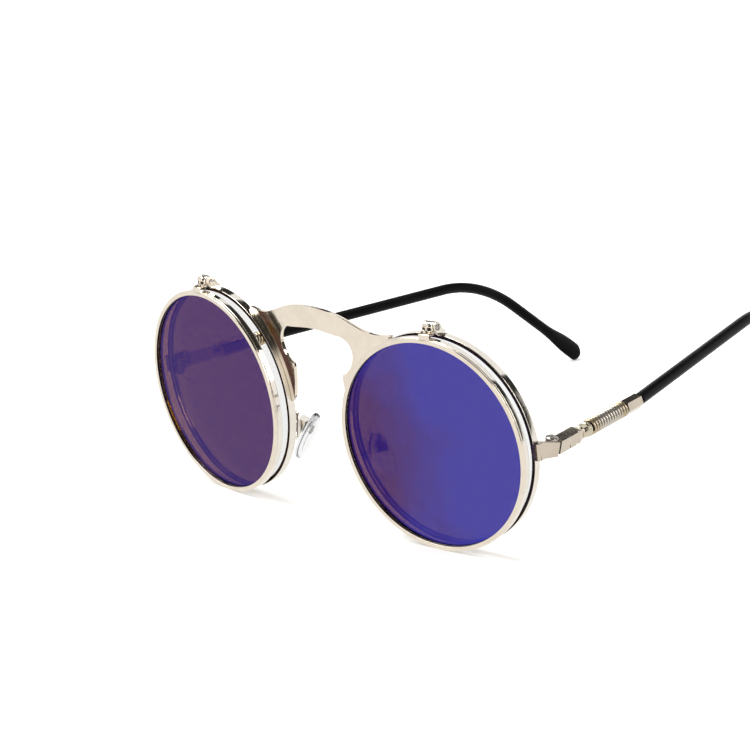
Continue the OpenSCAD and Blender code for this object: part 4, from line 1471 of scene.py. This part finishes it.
@dataclass
class Studio:
    """Floor, lamps, cards for the metal to reflect, and the camera."""

    yaw: float = 46.84
    pitch: float = 19.29
    roll: float = -6.58
    focal_px: float = 2637.0
    frame_px: float = 750.0
    eye: Vector = field(default_factory=lambda: Vector((408.216, -364.066, 199.806)))
    fill: float = 0.72
    dark_from: float = 0.34
    dark_to: float = 0.52
    overhead_level: float = 0.03
    floor_half: float = 3.0
    aim: Vector = field(default_factory=lambda: Vector((0, 0.05, 0.02)))
    surround: Colour = (1.0, 0.995, 0.985, 1)
    lamp_colour: tuple[float, float, float] = (1.0, 0.985, 0.96)
    sensor: float = 36.0
    card_black: Colour = (0.02, 0.018, 0.016, 1)
    card_white: Colour = (1, 1, 1, 1)

    def build(self) -> None:
        """Makes everything around the glasses."""
        self.world()
        self.floor()
        self.lamp("key_light", (-0.35, -0.25, 0.75), 0.7, 7.5)
        self.lamp("side_light", (0.75, 0.35, 0.55), 0.6, 4.0)
        self.card("top_card", (-0.10, 0.56, 0.66), (0.80, 0.34), self.card_white)
        self.card("left_card", (-0.62, 0.10, 0.12), (0.30, 0.16), self.card_black)
        self.card("right_card", (0.62, 0.16, 0.10), (0.10, 0.18), self.card_black)
        self.card("back_card", (0.61, 0.54, 0.25), (0.36, 0.48), self.card_black)
        self.camera()

    def world(self) -> None:
        """Makes an even white surround, which the metal sees as dark overhead."""
        world = bpy.data.worlds.new("surround")
        world.use_nodes = True
        tree = world.node_tree
        background = tree.nodes["Background"]
        background.inputs["Color"].default_value = self.surround
        path = tree.nodes.new("ShaderNodeLightPath")
        direction = tree.nodes.new("ShaderNodeTexCoord")
        axes = tree.nodes.new("ShaderNodeSeparateXYZ")
        overhead = tree.nodes.new("ShaderNodeMapRange")
        overhead.inputs["From Min"].default_value = self.dark_from
        overhead.inputs["From Max"].default_value = self.dark_to
        overhead.inputs["To Min"].default_value = 1.0
        overhead.inputs["To Max"].default_value = self.overhead_level
        level = self.blend(tree, path.outputs["Is Glossy Ray"], self.fill, overhead.outputs[0])
        seen = tree.nodes.new("ShaderNodeMath")
        seen.operation = "MAXIMUM"
        links = tree.links
        links.new(direction.outputs["Generated"], axes.inputs[0])
        links.new(axes.outputs["Z"], overhead.inputs["Value"])
        links.new(path.outputs["Is Camera Ray"], seen.inputs[0])
        links.new(path.outputs["Is Transmission Ray"], seen.inputs[1])
        links.new(self.blend(tree, seen.outputs[0], level, 1.0), background.inputs["Strength"])
        bpy.context.scene.world = world

    @staticmethod
    def blend(tree: bpy.types.NodeTree, share: NodeSocket, first: object,
              second: object) -> NodeSocket:
        """Mixes two numbers or sockets.

        Args:
            tree: the nodes that the mix joins.
            share: the socket that gives the share of the second.
            first: the first number or socket.
            second: the second number or socket.

        Returns:
            The socket of the mix.
        """
        mix = tree.nodes.new("ShaderNodeMix")
        tree.links.new(share, mix.inputs[0])
        for place, value in ((2, first), (3, second)):
            if isinstance(value, NodeSocket):
                tree.links.new(value, mix.inputs[place])
            else:
                mix.inputs[place].default_value = value
        return mix.outputs[0]

    def floor(self) -> None:
        """Makes the white floor, which keeps the shadow of the glasses."""
        shader = Shader("white_floor")
        shader.principled(Base_Color=(0.93, 0.925, 0.92, 1), Roughness=0.9,
                          Specular_IOR_Level=0.0)
        path = shader.node("ShaderNodeLightPath")
        mirrored = shader.node("ShaderNodeMath", {
            0: path.outputs["Is Glossy Ray"], 1: path.outputs["Is Transmission Ray"]},
            operation="MAXIMUM").outputs[0]
        glow = shader.node("ShaderNodeEmission", {"Color": (1, 0.99, 0.975, 1), "Strength": 1.0})
        away = shader.node("ShaderNodeVectorMath", {0: shader.place()}, operation="LENGTH")
        lift = shader.node("ShaderNodeEmission", {
            "Color": (1, 1, 1, 1),
            "Strength": shader.between(away.outputs["Value"], 0.12, 0.8, 0.25, 0.9)})
        lit = shader.node("ShaderNodeAddShader", {0: shader.surface.outputs[0],
                                                  1: lift.outputs[0]})
        mix = shader.node("ShaderNodeMixShader", {0: mirrored, 1: lit.outputs[0],
                                                  2: glow.outputs[0]})
        shader.feed(shader.output.inputs["Surface"], mix.outputs[0])
        bm = bmesh.new()
        bmesh.ops.create_grid(bm, x_segments=1, y_segments=1, size=self.floor_half)
        self.prop("floor", bm, shader.material)

    @staticmethod
    def prop(name: str, bm: BMesh, material: Material) -> Object:
        """Makes a mesh a piece of the studio.

        Args:
            name: the piece's name.
            bm: the mesh, which is freed.
            material: its material.

        Returns:
            The object.
        """
        mesh = bpy.data.meshes.new(name)
        bm.to_mesh(mesh)
        bm.free()
        mesh.materials.append(material)
        made = bpy.data.objects.new(name, mesh)
        bpy.context.scene.collection.objects.link(made)
        return made

    def card(self, name: str, place: tuple[float, float, float],
             size: tuple[float, float], colour: Colour) -> None:
        """Makes a card that only the metal sees.

        Args:
            name: the card's name.
            place: its middle, in metres; it faces the glasses.
            size: its width and height.
            colour: the colour that the metal sees.
        """
        shader = Shader(f"{name}_paint")
        shine = shader.node("ShaderNodeEmission", {"Color": colour, "Strength": 1.0})
        shader.feed(shader.output.inputs["Surface"], shine.outputs[0])
        bm = bmesh.new()
        bmesh.ops.create_grid(bm, x_segments=1, y_segments=1, size=0.5)
        bmesh.ops.scale(bm, vec=(size[0], size[1], 1), verts=bm.verts[:])
        made = self.prop(name, bm, shader.material)
        made.matrix_world = self.aimed(Vector(place))
        made.visible_camera = False
        made.visible_diffuse = False
        made.visible_shadow = False
        made.visible_transmission = False

    def aimed(self, place: Vector) -> Matrix:
        """Returns the matrix that stands at a place and looks at the glasses."""
        turn = (self.aim - place).to_track_quat("-Z", "Y")
        return Matrix.Translation(place) @ turn.to_matrix().to_4x4()

    def lamp(self, name: str, place: tuple[float, float, float], size: float,
             power: float) -> None:
        """Adds a soft square lamp that faces the glasses.

        Args:
            name: the lamp's name.
            place: its middle, in metres.
            size: how wide it is.
            power: its power in watts.
        """
        data = bpy.data.lights.new(name, "AREA")
        data.shape = "SQUARE"
        data.size = size
        data.energy = power
        data.color = self.lamp_colour
        lamp = bpy.data.objects.new(name, data)
        bpy.context.scene.collection.objects.link(lamp)
        lamp.matrix_world = self.aimed(Vector(place))

    def camera(self) -> None:
        """Sets the camera at the photograph's angle."""
        yaw, pitch, roll = (math.radians(a) for a in (self.yaw, self.pitch, self.roll))
        ahead = Vector((-math.sin(yaw) * math.cos(pitch), math.cos(yaw) * math.cos(pitch),
                        -math.sin(pitch)))
        right = Vector((math.cos(yaw), math.sin(yaw), 0))
        up = right.cross(ahead)
        rolled = right * math.cos(roll) + up * math.sin(roll)
        rolled_up = -right * math.sin(roll) + up * math.cos(roll)
        place = Matrix((rolled, rolled_up, -ahead)).transposed().to_4x4()
        place.translation = self.eye
        data = bpy.data.cameras.new("camera")
        data.sensor_width = self.sensor
        data.lens = self.focal_px / self.frame_px * data.sensor_width
        data.clip_start = 0.01
        camera = bpy.data.objects.new("camera", data)
        bpy.context.scene.collection.objects.link(camera)
        world = LAYOUT.stand() @ place
        world.translation *= MM
        camera.matrix_world = world
        bpy.context.scene.camera = camera


def main() -> None:
    """Builds the glasses and the studio."""
    logging.basicConfig(level=logging.INFO, format="%(name)s: %(message)s")
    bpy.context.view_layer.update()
    bpy.context.scene.view_settings.view_transform = "Standard"
    FINISHES.build()
    Bridge().build()
    for side in Side:
        for assembly in (Rims(side), FlipHinge(side), EndPiece(side), NosePad(side),
                         Temple(side)):
            assembly.build()
    Studio().build()


if __name__ == "__main__":
    main()
